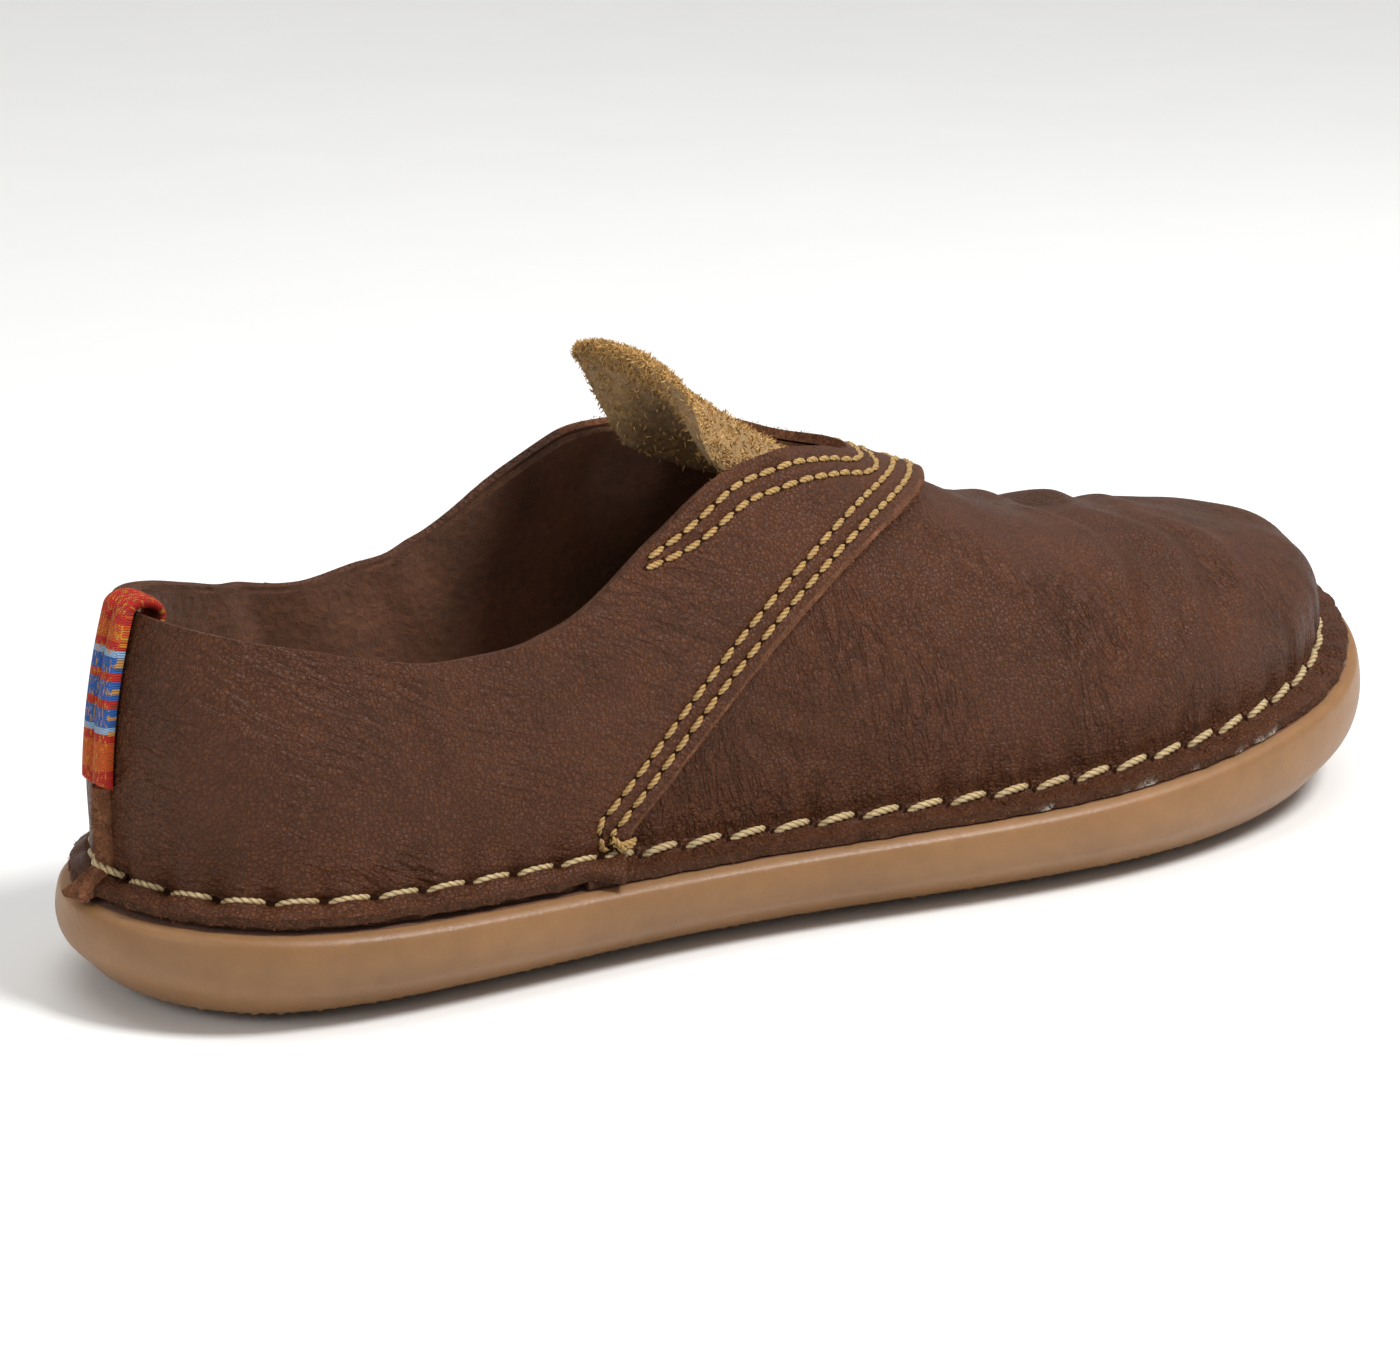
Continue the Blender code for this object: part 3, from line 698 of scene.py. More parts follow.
def nearest(points, line):
    """Distance from each point to a line of points, and the nearest point's number."""
    best = np.empty(len(points))
    where = np.empty(len(points), dtype=int)
    block = 2000
    for i in range(0, len(points), block):
        d = np.linalg.norm(points[i:i + block, None, :] - line[None, :, :], axis=2)
        where[i:i + block] = d.argmin(axis=1)
        best[i:i + block] = d.min(axis=1)
    return best, where


def ripple(u, seed, shortest, longest):
    """Uneven wave along a length, between about -1 and 1."""
    rng = np.random.default_rng(seed)
    total = np.zeros_like(u)
    for wavelength in np.geomspace(shortest, longest, 6):
        total = total + np.sin(2.0 * math.pi * (u / (wavelength * rng.uniform(0.85, 1.15)) + rng.random()))
    return total / 3.0


def crease_lines():
    """Every crease as a line of points with its depth and half width."""
    t = np.linspace(0.0, 1.0, CREASE_POINTS)
    found = []
    for c in CREASES:
        w = c.w_from + (c.w_to - c.w_from) * t + c.bow * np.sin(math.pi * t)
        v = c.v_from + (c.v_to - c.v_from) * t
        for side in (0, 1):
            found.append((wall_surface(mirrored(w, side), v), c.depth, c.half_width))
    for side in (0, 1):
        for k in range(FAN_COUNT):
            b = FAN_FROM + (FAN_TO - FAN_FROM) * k / (FAN_COUNT - 1.0)
            reach = FAN_REACH * (0.7 + 0.3 * math.cos(5.0 * k))
            w = front_edge(b) - 0.04 + reach * t + 0.03 * np.sin(9.0 * t + 2.0 * k)
            found.append((wall_surface(mirrored(w, side), b - FAN_FALL * t), FAN_DEPTH, FAN_HALF_WIDTH))
    return found


def crease_relief(p):
    """Soft troughs with a low ridge on each side."""
    total = np.zeros(len(p))
    fade = np.sin(math.pi * np.linspace(0.02, 0.98, CREASE_POINTS)) ** 0.6
    for line, depth, half_width in crease_lines():
        distance, where = nearest(p, line)
        q = distance / half_width
        total += depth * fade[where] * (0.4 * np.exp(-2.2 * (q - 1.9) ** 2) - np.exp(-q * q))
    return total


def across_rim(w, v):
    """Distance up the wall from the line of the cord."""
    start = 0.5 * math.pi * FEATHER_FILLET
    flat = FEATHER_INSET - FEATHER_FILLET - RAW_EDGE_INSET
    wall = start + 3.0 * wall_rise(w) * v
    length = np.where(v < -1.0, (v + 1.0) * flat, np.where(v < 0.0, (v + 1.0) * start, wall))
    return length - (CORD_SHARE + 1.0) * start


def pucker(w, v):
    """Leather drawn in at the holes of the cord and swelling between them."""
    count = cord_count()
    pitch = rim_line().length / count
    u = rim_run(w) / pitch + 0.5
    hole = np.round(u).astype(int) % count
    to_hole = np.abs(u - np.round(u)) * pitch
    up = across_rim(w, v)
    rng = np.random.default_rng(SEEDS.pucker)
    reach = np.where(up > 0.0, rng.uniform(*PINCH_REACH_UP, count)[hole], PINCH_REACH_DOWN)
    pinch = -rng.uniform(*PINCH_DEPTHS, count)[hole] * bell(to_hole, PINCH_HALF_WIDTH) * bell(up, reach)
    valley = -VALLEY_DEPTH * bell(up, VALLEY_HALF_WIDTH)
    away = np.abs(up) - SWELL_AWAY
    swell = SWELL_HEIGHT * bell(away, SWELL_HALF_WIDTH) * (1.0 - bell(to_hole, SWELL_GAP))
    return pinch + valley + swell


def undulation(p):
    """Slow unevenness of leather that has been worn and bent."""
    rng = np.random.default_rng(SEEDS.undulation)
    total = np.zeros(len(p))
    for wavelength in np.geomspace(*UNDULATION_WAVES):
        way = unit(rng.normal(size=3))
        total += UNDULATION * wavelength * np.sin(2.0 * math.pi * (p @ way / wavelength + rng.random()))
    return total


def droop(w, v):
    """Quarters' raw edge pressed down on the rim, except where it rides over the vamp."""
    free = np.clip((FRONT_EDGE_FOOT - from_heel(w)) / 0.3, 0.0, 1.0)
    return EDGE_DROOP * free * np.clip(-1.0 - v, 0.0, 1.0) + TIP_DROOP * np.clip(-2.1 - v, 0.0, 1.0)


def cord_count():
    """Number of cord stitches round the rim."""
    pitch = millimetres(bpy.context.scene.shoe_sizes.cord_pitch)
    return int(round(rim_line().length / pitch))


def sewn_rows():
    """Every line of thread on the quarters."""
    sizes = bpy.context.scene.shoe_sizes
    inset = millimetres(sizes.row_inset)
    gap = millimetres(sizes.row_gap)
    return front_rows(inset, gap) + throat_rows(inset, gap)


def channel(p):
    """Leather pressed down under the rows of thread and swelling a little between them."""
    points = np.concatenate([wall_surface(line.w, line.v) for line in sewn_rows()])
    distance = nearest(p, points)[0]
    bank = CHANNEL_BANK * bell(distance - CHANNEL_BANK_AWAY, CHANNEL_BANK_HALF_WIDTH)
    return -CHANNEL_DEPTH * bell(distance, CHANNEL_HALF_WIDTH) + bank


def vamp_face(w, v):
    """Depth of the vamp's outer face."""
    p = wall_surface(w, v)
    return crease_relief(p) + pucker(w, v) + undulation(p) * np.clip(3.0 * v, 0.0, 1.0)


def back_relief(w, v):
    """Folds of the shoe's back, shared by the quarters and their lining."""
    p = wall_surface(w, v)
    return 0.8 * crease_relief(p) + undulation(p) * np.clip(3.0 * v, 0.0, 1.0)


def lining_face(w, v):
    """Depth of the lining's outer face."""
    return 0.7 * back_relief(w, v) + 0.6 * pucker(w, v)


def quarter_face(w, v):
    """Depth of the quarters' outer face."""
    p = wall_surface(w, v)
    return QUARTER_FACE + back_relief(w, v) + pucker(w, v) + channel(p) - droop(w, v)


def raised_face(w, v):
    """Depth of thread that crosses over other thread on the quarters."""
    return QUARTER_FACE + pucker(w, v) + 0.35


def flange_face(w, v):
    """Depth of whichever leather lies on top at the foot of the wall, the heel seam among it."""
    w = np.mod(w, LOOP)
    s = from_heel(w)
    on_vamp = np.clip((s - FRONT_EDGE_FOOT) / 0.05 + 0.5, 0.0, 1.0)
    seam = SEAM_LIFT * bell(s * HEEL_RIB_WIDTH, SEAM_HALF_WIDTH)
    return pucker(w, v) + QUARTER_FACE * (1.0 - on_vamp) + seam


def heel_run():
    """Drops below the collar down the heel's middle line, and the v at each."""
    grid = np.linspace(float(opening_share(np.array([0.0]))[0]), SEAM_END, 600)
    return run_length(wall_surface(np.zeros_like(grid), grid)), grid


# rows and columns of the leather's grids, closer together at both ends of the back
STRIP_ROWS = np.linspace(0.0, 1.0, 50)
FLANGE_ROWS = np.concatenate([np.linspace(-2.0, -1.0, 5), np.linspace(-1.0, 0.0, 11)[1:]])
EVEN = np.linspace(0.0, 1.0, 140)
BACK_COLUMNS = EVEN - 0.45 * np.sin(2.0 * math.pi * EVEN) / (2.0 * math.pi)
FRONT_COLUMNS = np.linspace(0.0, 1.0, 90)
VAMP_COLUMNS = np.linspace(0.0, 1.0, 170)
VAMP_ROWS = np.linspace(0.0, 1.0, 64) ** 1.15

# raw edge of each leather: seed of its wander, share of the flange's width, tip at the front corner
RawEdge = namedtuple("RawEdge", "seed width tip")
VAMP_EDGE = RawEdge(3, 1.0, 0.0)
LINING_EDGE = RawEdge(5, 0.4, 0.0)
QUARTER_EDGE = RawEdge(8, 1.0, 0.9)


def ragged(w, v, seed, width, tip):
    """Flange rows stretched to a share of their width, ending in a raw edge that wanders."""
    wander = EDGE_WANDER * ripple(rim_run(w), seed, 4.5, 40.0)
    corner = tip * bell(from_heel(w) - FRONT_EDGE_FOOT + TIP_HALF_WIDTH, TIP_HALF_WIDTH)
    return np.where(v < -1.0, -1.0 + (v + 1.0) * (width + wander + corner), v)


@functools.lru_cache(maxsize=None)
def front_border():
    """Points of the quarters' front edge on both sides."""
    t = np.linspace(0.0, 1.0, 400)
    return np.concatenate([wall_surface(mirrored(front_edge(t), side), t) for side in (0, 1)])


def glue_traces(w, v):
    """Share of dried glue on the raw edge: some stretches of the forefoot's flange."""
    stretch = np.clip(2.5 * (ripple(rim_run(w), SEEDS.glue, 6.0, 70.0) - 0.35), 0.0, 1.0)
    fore = np.clip((from_heel(w) - GLUE_FROM) / 0.4, 0.0, 1.0)
    return stretch * fore * np.clip(-(v + 1.7) / 0.2, 0.0, 1.0)


def edge_kind(w, v):
    """Material number of a border: the collar is dyed, the flange's edge is darker, other edges are cut."""
    if v < -0.5:
        return FLANGE_EDGE
    if v > 0.2 and from_heel(w) < FACING_CORNER - 0.02:
        return GRAIN_SIDE
    return CUT_EDGE


class Sheet:
    """Leather laid on the wall: grids of rib number and v, welded where they meet."""

    WELD = 0.002

    def __init__(self):
        self.w = []
        self.v = []
        self.quads = []
        self.count = 0

    def patch(self, w, v):
        """Add one grid, with rib numbers rising along its columns."""
        ids = self.count + np.arange(w.size).reshape(w.shape)
        self.count += w.size
        self.w.append(w.ravel())
        self.v.append(v.ravel())
        corners = [ids[:-1, :-1], ids[:-1, 1:], ids[1:, 1:], ids[1:, :-1]]
        self.quads.append(np.stack(corners, axis=-1).reshape(-1, 4))

    def side_patch(self, s, v, side):
        """Add a grid given by its distance from the heel, on one side."""
        if side:
            self.patch(LOOP - s[:, ::-1], v[:, ::-1])
        else:
            self.patch(s, v)

    def quarters(self, lap, top, edge):
        """Back of the shoe: flange, sides and bridge, both sides."""
        b = (STRIP_ROWS * top)[:, None]
        for side in (0, 1):
            s = np.linspace(0.0, FRONT_EDGE_FOOT - lap, 500)
            foot_back = Line(mirrored(s, side), np.zeros_like(s)).steps(BACK_COLUMNS)
            t = np.linspace(0.0, 1.0, 500)
            foot_front = Line(mirrored(front_edge(t) - lap, 0), t).steps(FRONT_COLUMNS)
            s = np.linspace(0.0, FACING_CORNER, 500)
            top_back = Line(mirrored(s, side), opening_share(mirrored(s, side))).steps(BACK_COLUMNS)
            top_front = Line(*facing_line(side)).steps(FRONT_COLUMNS)
            for foot, head in ((foot_back, top_back), (foot_front, top_front)):
                low = foot[0] if foot is foot_front else mirrored(foot[0], side)
                w = (1.0 - b) * low + b * mirrored(head[0], side)
                self.side_patch(w, (1.0 - b) * foot[1] + b * head[1], side)
            s = mirrored(foot_back[0], side) + np.zeros((len(FLANGE_ROWS), 1))
            v = FLANGE_ROWS[:, None] + np.zeros_like(s)
            near = bell(FRONT_EDGE_FOOT - lap - s, CORNER_REACH)
            s = s - CORNER_ROUND * near * np.clip(-1.0 - v, 0.0, 1.0) ** 2
            self.side_patch(s, ragged(mirrored(s, side), v, *edge), side)

    def vamp(self, lap, edge):
        """Front of the shoe: flange and forefoot, both sides."""
        rows = np.concatenate([FLANGE_ROWS[:-1], VAMP_ROWS])[:, None]
        foot = front_edge(np.clip(rows, 0.0, 1.0)) - lap
        s = foot + VAMP_COLUMNS[None, :] * (LAST_RIB - foot)
        v = rows + np.zeros_like(s)
        for side in (0, 1):
            self.side_patch(s, ragged(mirrored(s, side), v, *edge), side)

    def weld(self):
        """Join the grids and return rib numbers, v and faces."""
        w = np.concatenate(self.w)
        v = np.concatenate(self.v)
        key = np.round(wall_surface(w, v) / self.WELD).astype(int)
        first, number = np.unique(key, axis=0, return_index=True, return_inverse=True)[1:]
        quads = number.ravel()[np.concatenate(self.quads)]
        faces = []
        for quad in quads.tolist():
            face = [a for i, a in enumerate(quad) if a != quad[i - 1]]
            if len(set(face)) == len(face) > 2:
                faces.append(face)
        return w[first], v[first], faces

    def solid(self, over, under, seed, rub_and_lit=0.0):
        """Points, faces, material numbers and traces of glue of the sheet with its thickness."""
        w, v, faces = self.weld()
        count = len(w)
        wall = wall_surface(w, v)
        face_over = over(w, v)
        top = layer(w, v, face_over)
        low = layer(w, v, under + 0.7 * (face_over - np.median(face_over)))
        directed = {(a, b) for face in faces for a, b in zip(face, face[1:] + face[:1])}
        border = sorted((a, b) for a, b in directed if (b, a) not in directed)
        on_edge = sorted({a for edge in border for a in edge})
        rng = np.random.default_rng(seed)
        rings = []
        points = [top, low]
        start = 2 * count
        for share in (0.3, 0.68):
            ring = top[on_edge] + share * (low[on_edge] - top[on_edge])
            points.append(ring + rng.normal(0.0, 0.09, ring.shape))
            rings.append({a: start + i for i, a in enumerate(on_edge)})
            start += len(on_edge)
        every = [list(face) for face in faces] + [[count + a for a in face[::-1]] for face in faces]
        middles = np.array([wall[face].mean(axis=0) for face in faces])
        # faces near the quarters' front edge take the lighter cut-edge colour: rubbed wear of the edge and a
        # painted lit rim along it
        rubbed = nearest(middles, front_border())[0] < rub_and_lit
        numbers = [CUT_EDGE if worn else GRAIN_SIDE for worn in rubbed] + [FLESH_SIDE] * len(faces)
        for a, b in border:
            kind = edge_kind(w[[a, b]].mean(), v[[a, b]].mean())
            down_a = [a, rings[0][a], rings[1][a], count + a]
            down_b = [b, rings[0][b], rings[1][b], count + b]
            for i in range(3):
                every.append([down_b[i], down_a[i], down_a[i + 1], down_b[i + 1]])
                numbers.append(kind)
        glue = glue_traces(w, v)
        traces = np.concatenate([0.0 * glue, glue, 0.1 * glue[on_edge], 0.6 * glue[on_edge]])
        return np.concatenate(points), every, numbers, traces


def make_piece(name, points, faces, materials, numbers=None, node=None,
               uv=None, shade=None, sharp=55.0):
    """Mesh from points in millimetres, riding on the part's one body."""
    mesh = bpy.data.meshes.new(name)
    mesh.from_pydata(((np.asarray(points) - SHIFT) * MM).tolist(), [], faces)
    for material in materials:
        mesh.materials.append(material)
    if numbers is not None:
        mesh.polygons.foreach_set("material_index", np.asarray(numbers, dtype=np.int32))
    mesh.shade_smooth()
    mesh.set_sharp_from_angle(angle=math.radians(sharp))
    if uv is not None:
        corner = np.empty(len(mesh.loops), dtype=np.int32)
        mesh.loops.foreach_get("vertex_index", corner)
        lengths = np.asarray(uv)[corner].astype(np.float32)
        mesh.uv_layers.new(name="Lengths").data.foreach_set("uv", lengths.ravel())
    if shade is not None:
        shades = mesh.attributes.new("shade", "FLOAT", "POINT")
        shades.data.foreach_set("value", np.asarray(shade, dtype=np.float32))
    mesh.update()
    obj = bpy.data.objects.new(name, mesh)
    bpy.context.scene.collection.objects.link(obj)
    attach(obj, BODY)
    if node:
        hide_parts(node)


def grid_faces(rows, columns, closed=False, start=0):
    """Faces over a grid of points stored row by row."""
    ids = start + np.arange(rows * columns).reshape(rows, columns)
    if closed:
        ids = np.concatenate([ids, ids[:, :1]], axis=1)
    corners = [ids[:-1, :-1], ids[:-1, 1:], ids[1:, 1:], ids[1:, :-1]]
    return np.stack(corners, axis=-1).reshape(-1, 4).tolist()


def tube_faces(rows, columns):
    """Faces of a tube stored ring by ring, with both ends shut."""
    faces = grid_faces(rows, columns, True)
    faces.append(list(range(columns))[::-1])
    faces.append(list(range((rows - 1) * columns, rows * columns)))
    return faces


def repeated(faces, size, count):
    """Faces of many copies of a small mesh, each with its own points."""
    return [[size * i + a for a in face] for i in range(count) for face in faces]


def circles(normals, helper, sides):
    """Circle of unit radius round each normal, starting square to a helper direction."""
    first = unit(np.cross(normals, helper))[:, None]
    second = np.cross(normals[:, None], first)
    angle = 2.0 * math.pi * np.arange(sides) / sides
    return np.cos(angle)[None, :, None] * first + np.sin(angle)[None, :, None] * second


def twisted(paths, ups, radius, turn):
    """Closed twisted stitches along many short paths: points, faces and lengths for the material.

    paths and ups have the shape (stitches, steps, 3).
    """
    count, steps = paths.shape[:2]
    along = unit(np.gradient(paths, axis=1))
    across = unit(np.cross(ups, along))
    up = np.cross(along, across)
    run = np.cumsum(np.linalg.norm(np.diff(paths, axis=1, prepend=paths[:, :1]), axis=2), axis=1)
    t = np.linspace(0.0, 1.0, steps)
    taper = STITCH_END + (1.0 - STITCH_END) * np.sin(math.pi * t) ** 0.4
    angle = 2.0 * math.pi * np.arange(STITCH_SIDES) / STITCH_SIDES
    lobe = 1.0 + 0.2 * np.cos(STRANDS * (angle[None, None, :] - turn * run[:, :, None]))
    size = radius * taper[None, :, None] * lobe
    points = paths[:, :, None, :] \
        + (size * np.cos(angle))[..., None] * across[:, :, None, :] \
        + (0.9 * size * np.sin(angle))[..., None] * up[:, :, None, :]
    uv = np.stack([np.broadcast_to(run[:, :, None], size.shape),
                   np.broadcast_to(angle / (2.0 * math.pi), size.shape)], axis=-1)
    faces = repeated(tube_faces(steps, STITCH_SIDES), steps * STITCH_SIDES, count)
    return points.reshape(-1, 3), faces, uv.reshape(-1, 2)


def sewn(line, starts, stops, radius, face, steps, slant):
    """Paths and normals of stitches on a line of the wall, dipping into the leather at both ends."""
    t = np.linspace(0.0, 1.0, steps)
    u = starts[:, None] + (stops - starts)[:, None] * t
    w, v = line.at(u)
    v = v + slant * (t - 0.5)
    ups = wall_normal(w, v)
    base = layer(w.ravel(), v.ravel(), face(w.ravel(), v.ravel())).reshape(w.shape + (3,))
    lift = radius * (1.75 * np.sin(math.pi * t) ** 0.45 - 1.15)
    return base + lift[None, :, None] * ups, ups


def bent_hairs(roots, leans, lengths, radius, rng):
    """Short closed fibres of three sides, each bent once, with blunt ends: points and faces."""
    count = len(roots)
    leans = unit(leans)
    turned = unit(0.45 * leans + rng.normal(0.0, 0.6, (count, 3)))
    side = unit(np.cross(leans, rng.normal(size=(count, 3))))
    front = np.cross(leans, side)
    middle = roots + 0.5 * lengths[:, None] * leans
    end = middle + 0.5 * lengths[:, None] * turned
    rows = []
    for centre, size in ((roots, radius), (middle, radius), (end, 0.5 * radius)):
        for k in range(HAIR_SIDES):
            angle = 2.0 * math.pi * k / HAIR_SIDES
            rows.append(centre + size * (math.cos(angle) * side + math.sin(angle) * front))
    faces = repeated(tube_faces(3, HAIR_SIDES), 3 * HAIR_SIDES, count)
    return np.stack(rows, axis=1).reshape(-1, 3), faces


class Graph:
    """Short words for building one tree of shader nodes."""

    def __init__(self, tree):
        self.tree = tree

    def add(self, kind, inputs=None, **settings):
        """New node with its settings, and inputs that are values or sockets."""
        node = self.tree.nodes.new(kind)
        for key, value in settings.items():
            setattr(node, key, value)
        for key, value in (inputs or {}).items():
            self.put(node.inputs[key], value)
        return node

    def put(self, socket, value):
        """Link or set one input."""
        if isinstance(value, bpy.types.NodeSocket):
            self.tree.links.new(value, socket)
        else:
            socket.default_value = value

    def place(self):
        """Place on the object, in metres."""
        return self.add("ShaderNodeTexCoord").outputs["Object"]

    def lengths(self):
        """Lengths stored with the mesh."""
        return self.add("ShaderNodeUVMap", uv_map="Lengths").outputs["UV"]

    def shade(self):
        """Shade stored with each point of the mesh."""
        return self.add("ShaderNodeAttribute", attribute_name="shade").outputs["Fac"]

    def math(self, operation, a, b=0.0):
        """Sum, product or other arithmetic of two values."""
        return self.add("ShaderNodeMath", {0: a, 1: b}, operation=operation).outputs[0]

    def noise(self, place, scale, detail=3.0, roughness=0.55, distortion=0.0):
        """Cloudy values about 0.5."""
        inputs = {"Vector": place, "Scale": scale, "Detail": detail}
        inputs |= {"Roughness": roughness, "Distortion": distortion}
        return self.add("ShaderNodeTexNoise", inputs).outputs["Fac"]

    def cells(self, place, scale, feature="F1"):
        """Cells: distance to the middle or the edge of the nearest one, and a colour of its own."""
        inputs = {"Vector": place, "Scale": scale}
        return self.add("ShaderNodeTexVoronoi", inputs, feature=feature).outputs

    def warped(self, place, scale, reach):
        """Place moved a little every way by clouds."""
        inputs = {"Vector": place, "Scale": scale, "Detail": 2.0}
        cloud = self.add("ShaderNodeTexNoise", inputs).outputs["Color"]
        inputs = {0: cloud, 1: (reach, reach, reach)}
        moved = self.add("ShaderNodeVectorMath", inputs, operation="MULTIPLY").outputs[0]
        return self.add("ShaderNodeVectorMath", {0: place, 1: moved}, operation="ADD").outputs[0]

    def window(self, value, low, high):
        """Value stretched so that low becomes 0 and high becomes 1."""
        inputs = {"Value": value, "From Min": low, "From Max": high}
        return self.add("ShaderNodeMapRange", inputs, clamp=True).outputs["Result"]

    def mix(self, factor, a, b, blend="MIX"):
        """Mix of two colours."""
        node = self.add("ShaderNodeMix", {0: factor, 6: a, 7: b}, data_type="RGBA", blend_type=blend)
        return node.outputs[2]

    def scaled(self, value, factor):
        """Product of two values."""
        return self.math("MULTIPLY", value, factor)

    def bump(self, height, distance, strength):
        """Normal bent by a height, with the height's full swing as a distance in metres."""
        inputs = {"Height": height, "Distance": distance, "Strength": strength}
        return self.add("ShaderNodeBump", inputs).outputs["Normal"]

    def effect(self, group, inputs):
        """Outputs of a node group placed with its own values."""
        node = self.add("ShaderNodeGroup", node_tree=group)
        for key, value in inputs.items():
            self.put(node.inputs[key], value)
        return node.outputs


def new_group(name, inputs, outputs):
    """Empty effect with named sockets: its graph, the values given to it and the results to fill."""
    tree = bpy.data.node_groups.new(name, "ShaderNodeTree")
    for label, kind in inputs:
        tree.interface.new_socket(name=label, in_out="INPUT", socket_type=kind)
    for label, kind in outputs:
        tree.interface.new_socket(name=label, in_out="OUTPUT", socket_type=kind)
    graph = Graph(tree)
    given = graph.add("NodeGroupInput").outputs
    result = graph.add("NodeGroupOutput").inputs
    return graph, given, result


VALUE = "NodeSocketFloat"
COLOUR = "NodeSocketColor"


@functools.lru_cache(maxsize=None)
def grain_effect():
    """Pebbled grain with patches of leaning wrinkles: height, tops, pores, wrinkle lines and flecks."""
    graph, given, result = new_group(
        "Leather grain", [("Scale", VALUE), ("Lean", VALUE), ("Wrinkling", VALUE)],
        [("Height", VALUE), ("Top", VALUE), ("Pore", VALUE), ("Line", VALUE), ("Fleck", VALUE)])
    scale = given["Scale"]
    place = graph.place()
    turn = graph.add("ShaderNodeCombineXYZ", {"Y": given["Lean"]}).outputs["Vector"]
    leaning = graph.add("ShaderNodeMapping", {"Vector": place, "Rotation": turn}).outputs["Vector"]
    stretch = {"Vector": leaning, "Scale": (1.0, 0.45, 0.26)}
    leaning = graph.add("ShaderNodeMapping", stretch).outputs["Vector"]
    shifted = graph.warped(place, graph.scaled(scale, 0.6), 0.0012)
    cell = graph.cells(shifted, scale)
    pebble = cell["Distance"]
    chance = graph.add("ShaderNodeSeparateColor", {"Color": cell["Color"]}).outputs["Red"]
    seam = graph.cells(shifted, scale, "DISTANCE_TO_EDGE")["Distance"]
    fine = graph.noise(place, graph.scaled(scale, 1.7), 3.0, 0.6)
    cloud = graph.noise(place, graph.scaled(scale, 0.035), 2.0, 0.5)
    wrinkle = graph.noise(leaning, graph.scaled(scale, 0.42), 2.0, 0.5, 0.5)
    folds = graph.scaled(graph.scaled(wrinkle, graph.window(cloud, 0.36, 0.58)), 5.5)
    waver = graph.noise(leaning, graph.scaled(scale, 0.40), 2.0, 0.5, 0.6)
    off_line = graph.math("ABSOLUTE", graph.math("SUBTRACT", waver, 0.5))
    line = graph.scaled(graph.window(off_line, 0.07, 0.0), graph.window(cloud, 0.40, 0.64))
    line = graph.scaled(line, given["Wrinkling"])
    rise = graph.scaled(graph.window(seam, 0.0, 0.2), 0.26)
    domes = graph.math("SUBTRACT", rise, graph.scaled(pebble, 0.6))
    pores = graph.math("ADD", graph.scaled(fine, 0.5), domes)
    height = graph.math("SUBTRACT", graph.math("ADD", folds, pores), graph.scaled(line, 0.9))
    spots = graph.noise(place, graph.scaled(scale, 0.8), 3.0, 0.6)
    graph.put(result["Height"], height)
    graph.put(result["Top"], graph.scaled(graph.window(pebble, 0.50, 0.12), graph.window(chance, 0.2, 0.95)))
    graph.put(result["Pore"], graph.window(seam, 0.13, 0.0))
    graph.put(result["Line"], line)
    graph.put(result["Fleck"], graph.window(spots, 0.58, 0.72))
    return graph.tree


@functools.lru_cache(maxsize=None)
def mottle_effect():
    """Slow and quick clouds of two colours."""
    graph, given, result = new_group(
        "Mottle", [("Light", COLOUR), ("Dark", COLOUR), ("Scale", VALUE)], [("Colour", COLOUR)])
    place = graph.place()
    slow = graph.noise(place, given["Scale"], 3.0, 0.6)
    quick = graph.noise(place, graph.scaled(given["Scale"], 9.0), 4.0, 0.6)
    blend = graph.math("ADD", graph.scaled(slow, 0.65), graph.scaled(quick, 0.35))
    graph.put(result["Colour"], graph.mix(graph.window(blend, 0.34, 0.66), given["Dark"], given["Light"]))
    return graph.tree


@functools.lru_cache(maxsize=None)
def nap_effect():
    """Short suede fibres lying every way: height and shade."""
    graph, given, result = new_group("Suede nap", [("Scale", VALUE)], [("Height", VALUE), ("Shade", VALUE)])
    place = graph.place()
    curl = graph.noise(place, given["Scale"], 6.0, 0.75, 1.6)
    tuft = graph.cells(place, graph.scaled(given["Scale"], 0.9))["Distance"]
    graph.put(result["Height"], graph.math("ADD", curl, graph.scaled(tuft, 0.6)))
    graph.put(result["Shade"], graph.window(curl, 0.32, 0.68))
    return graph.tree


@functools.lru_cache(maxsize=None)
def strand_effect():
    """Thread of three twisted strands: height of its filaments, grooves between strands for painted shade,
    and uneven shade.
    """
    graph, given, result = new_group(
        "Strand", [("Turn", VALUE)], [("Height", VALUE), ("Groove shade", VALUE), ("Shade", VALUE)])
    parts = graph.add("ShaderNodeSeparateXYZ", {"Vector": graph.lengths()}).outputs
    around_it = graph.scaled(parts["Y"], 2.0 * math.pi)
    phase = graph.math("SUBTRACT", around_it, graph.scaled(parts["X"], given["Turn"]))
    lobe = graph.math("COSINE", graph.scaled(phase, float(STRANDS)))
    graph.put(result["Height"], graph.math("SINE", graph.scaled(phase, 5.0 * STRANDS)))
    graph.put(result["Groove shade"], graph.window(lobe, -0.25, -0.95))
    graph.put(result["Shade"], graph.window(graph.noise(graph.place(), 900.0, 2.0), 0.3, 0.7))
    return graph.tree


def new_material(name, specular, roughness=0.5):
    """Material with one Principled shader: the material, its graph and the shader's inputs."""
    material = bpy.data.materials.new(name)
    material.use_nodes = True
    shader = material.node_tree.nodes["Principled BSDF"].inputs
    shader["Specular IOR Level"].default_value = specular
    shader["Roughness"].default_value = roughness
    return material, Graph(material.node_tree), shader


def rgba(colour, gain=1.0):
    """Colour for a socket, made lighter or darker."""
    return tuple(gain * c for c in colour) + (1.0,)


def mottled(graph, colour, light, dark, scale):
    """One colour in lighter and darker clouds."""
    inputs = {"Light": rgba(colour, light), "Dark": rgba(colour, dark), "Scale": scale}
    return graph.effect(mottle_effect(), inputs)["Colour"]


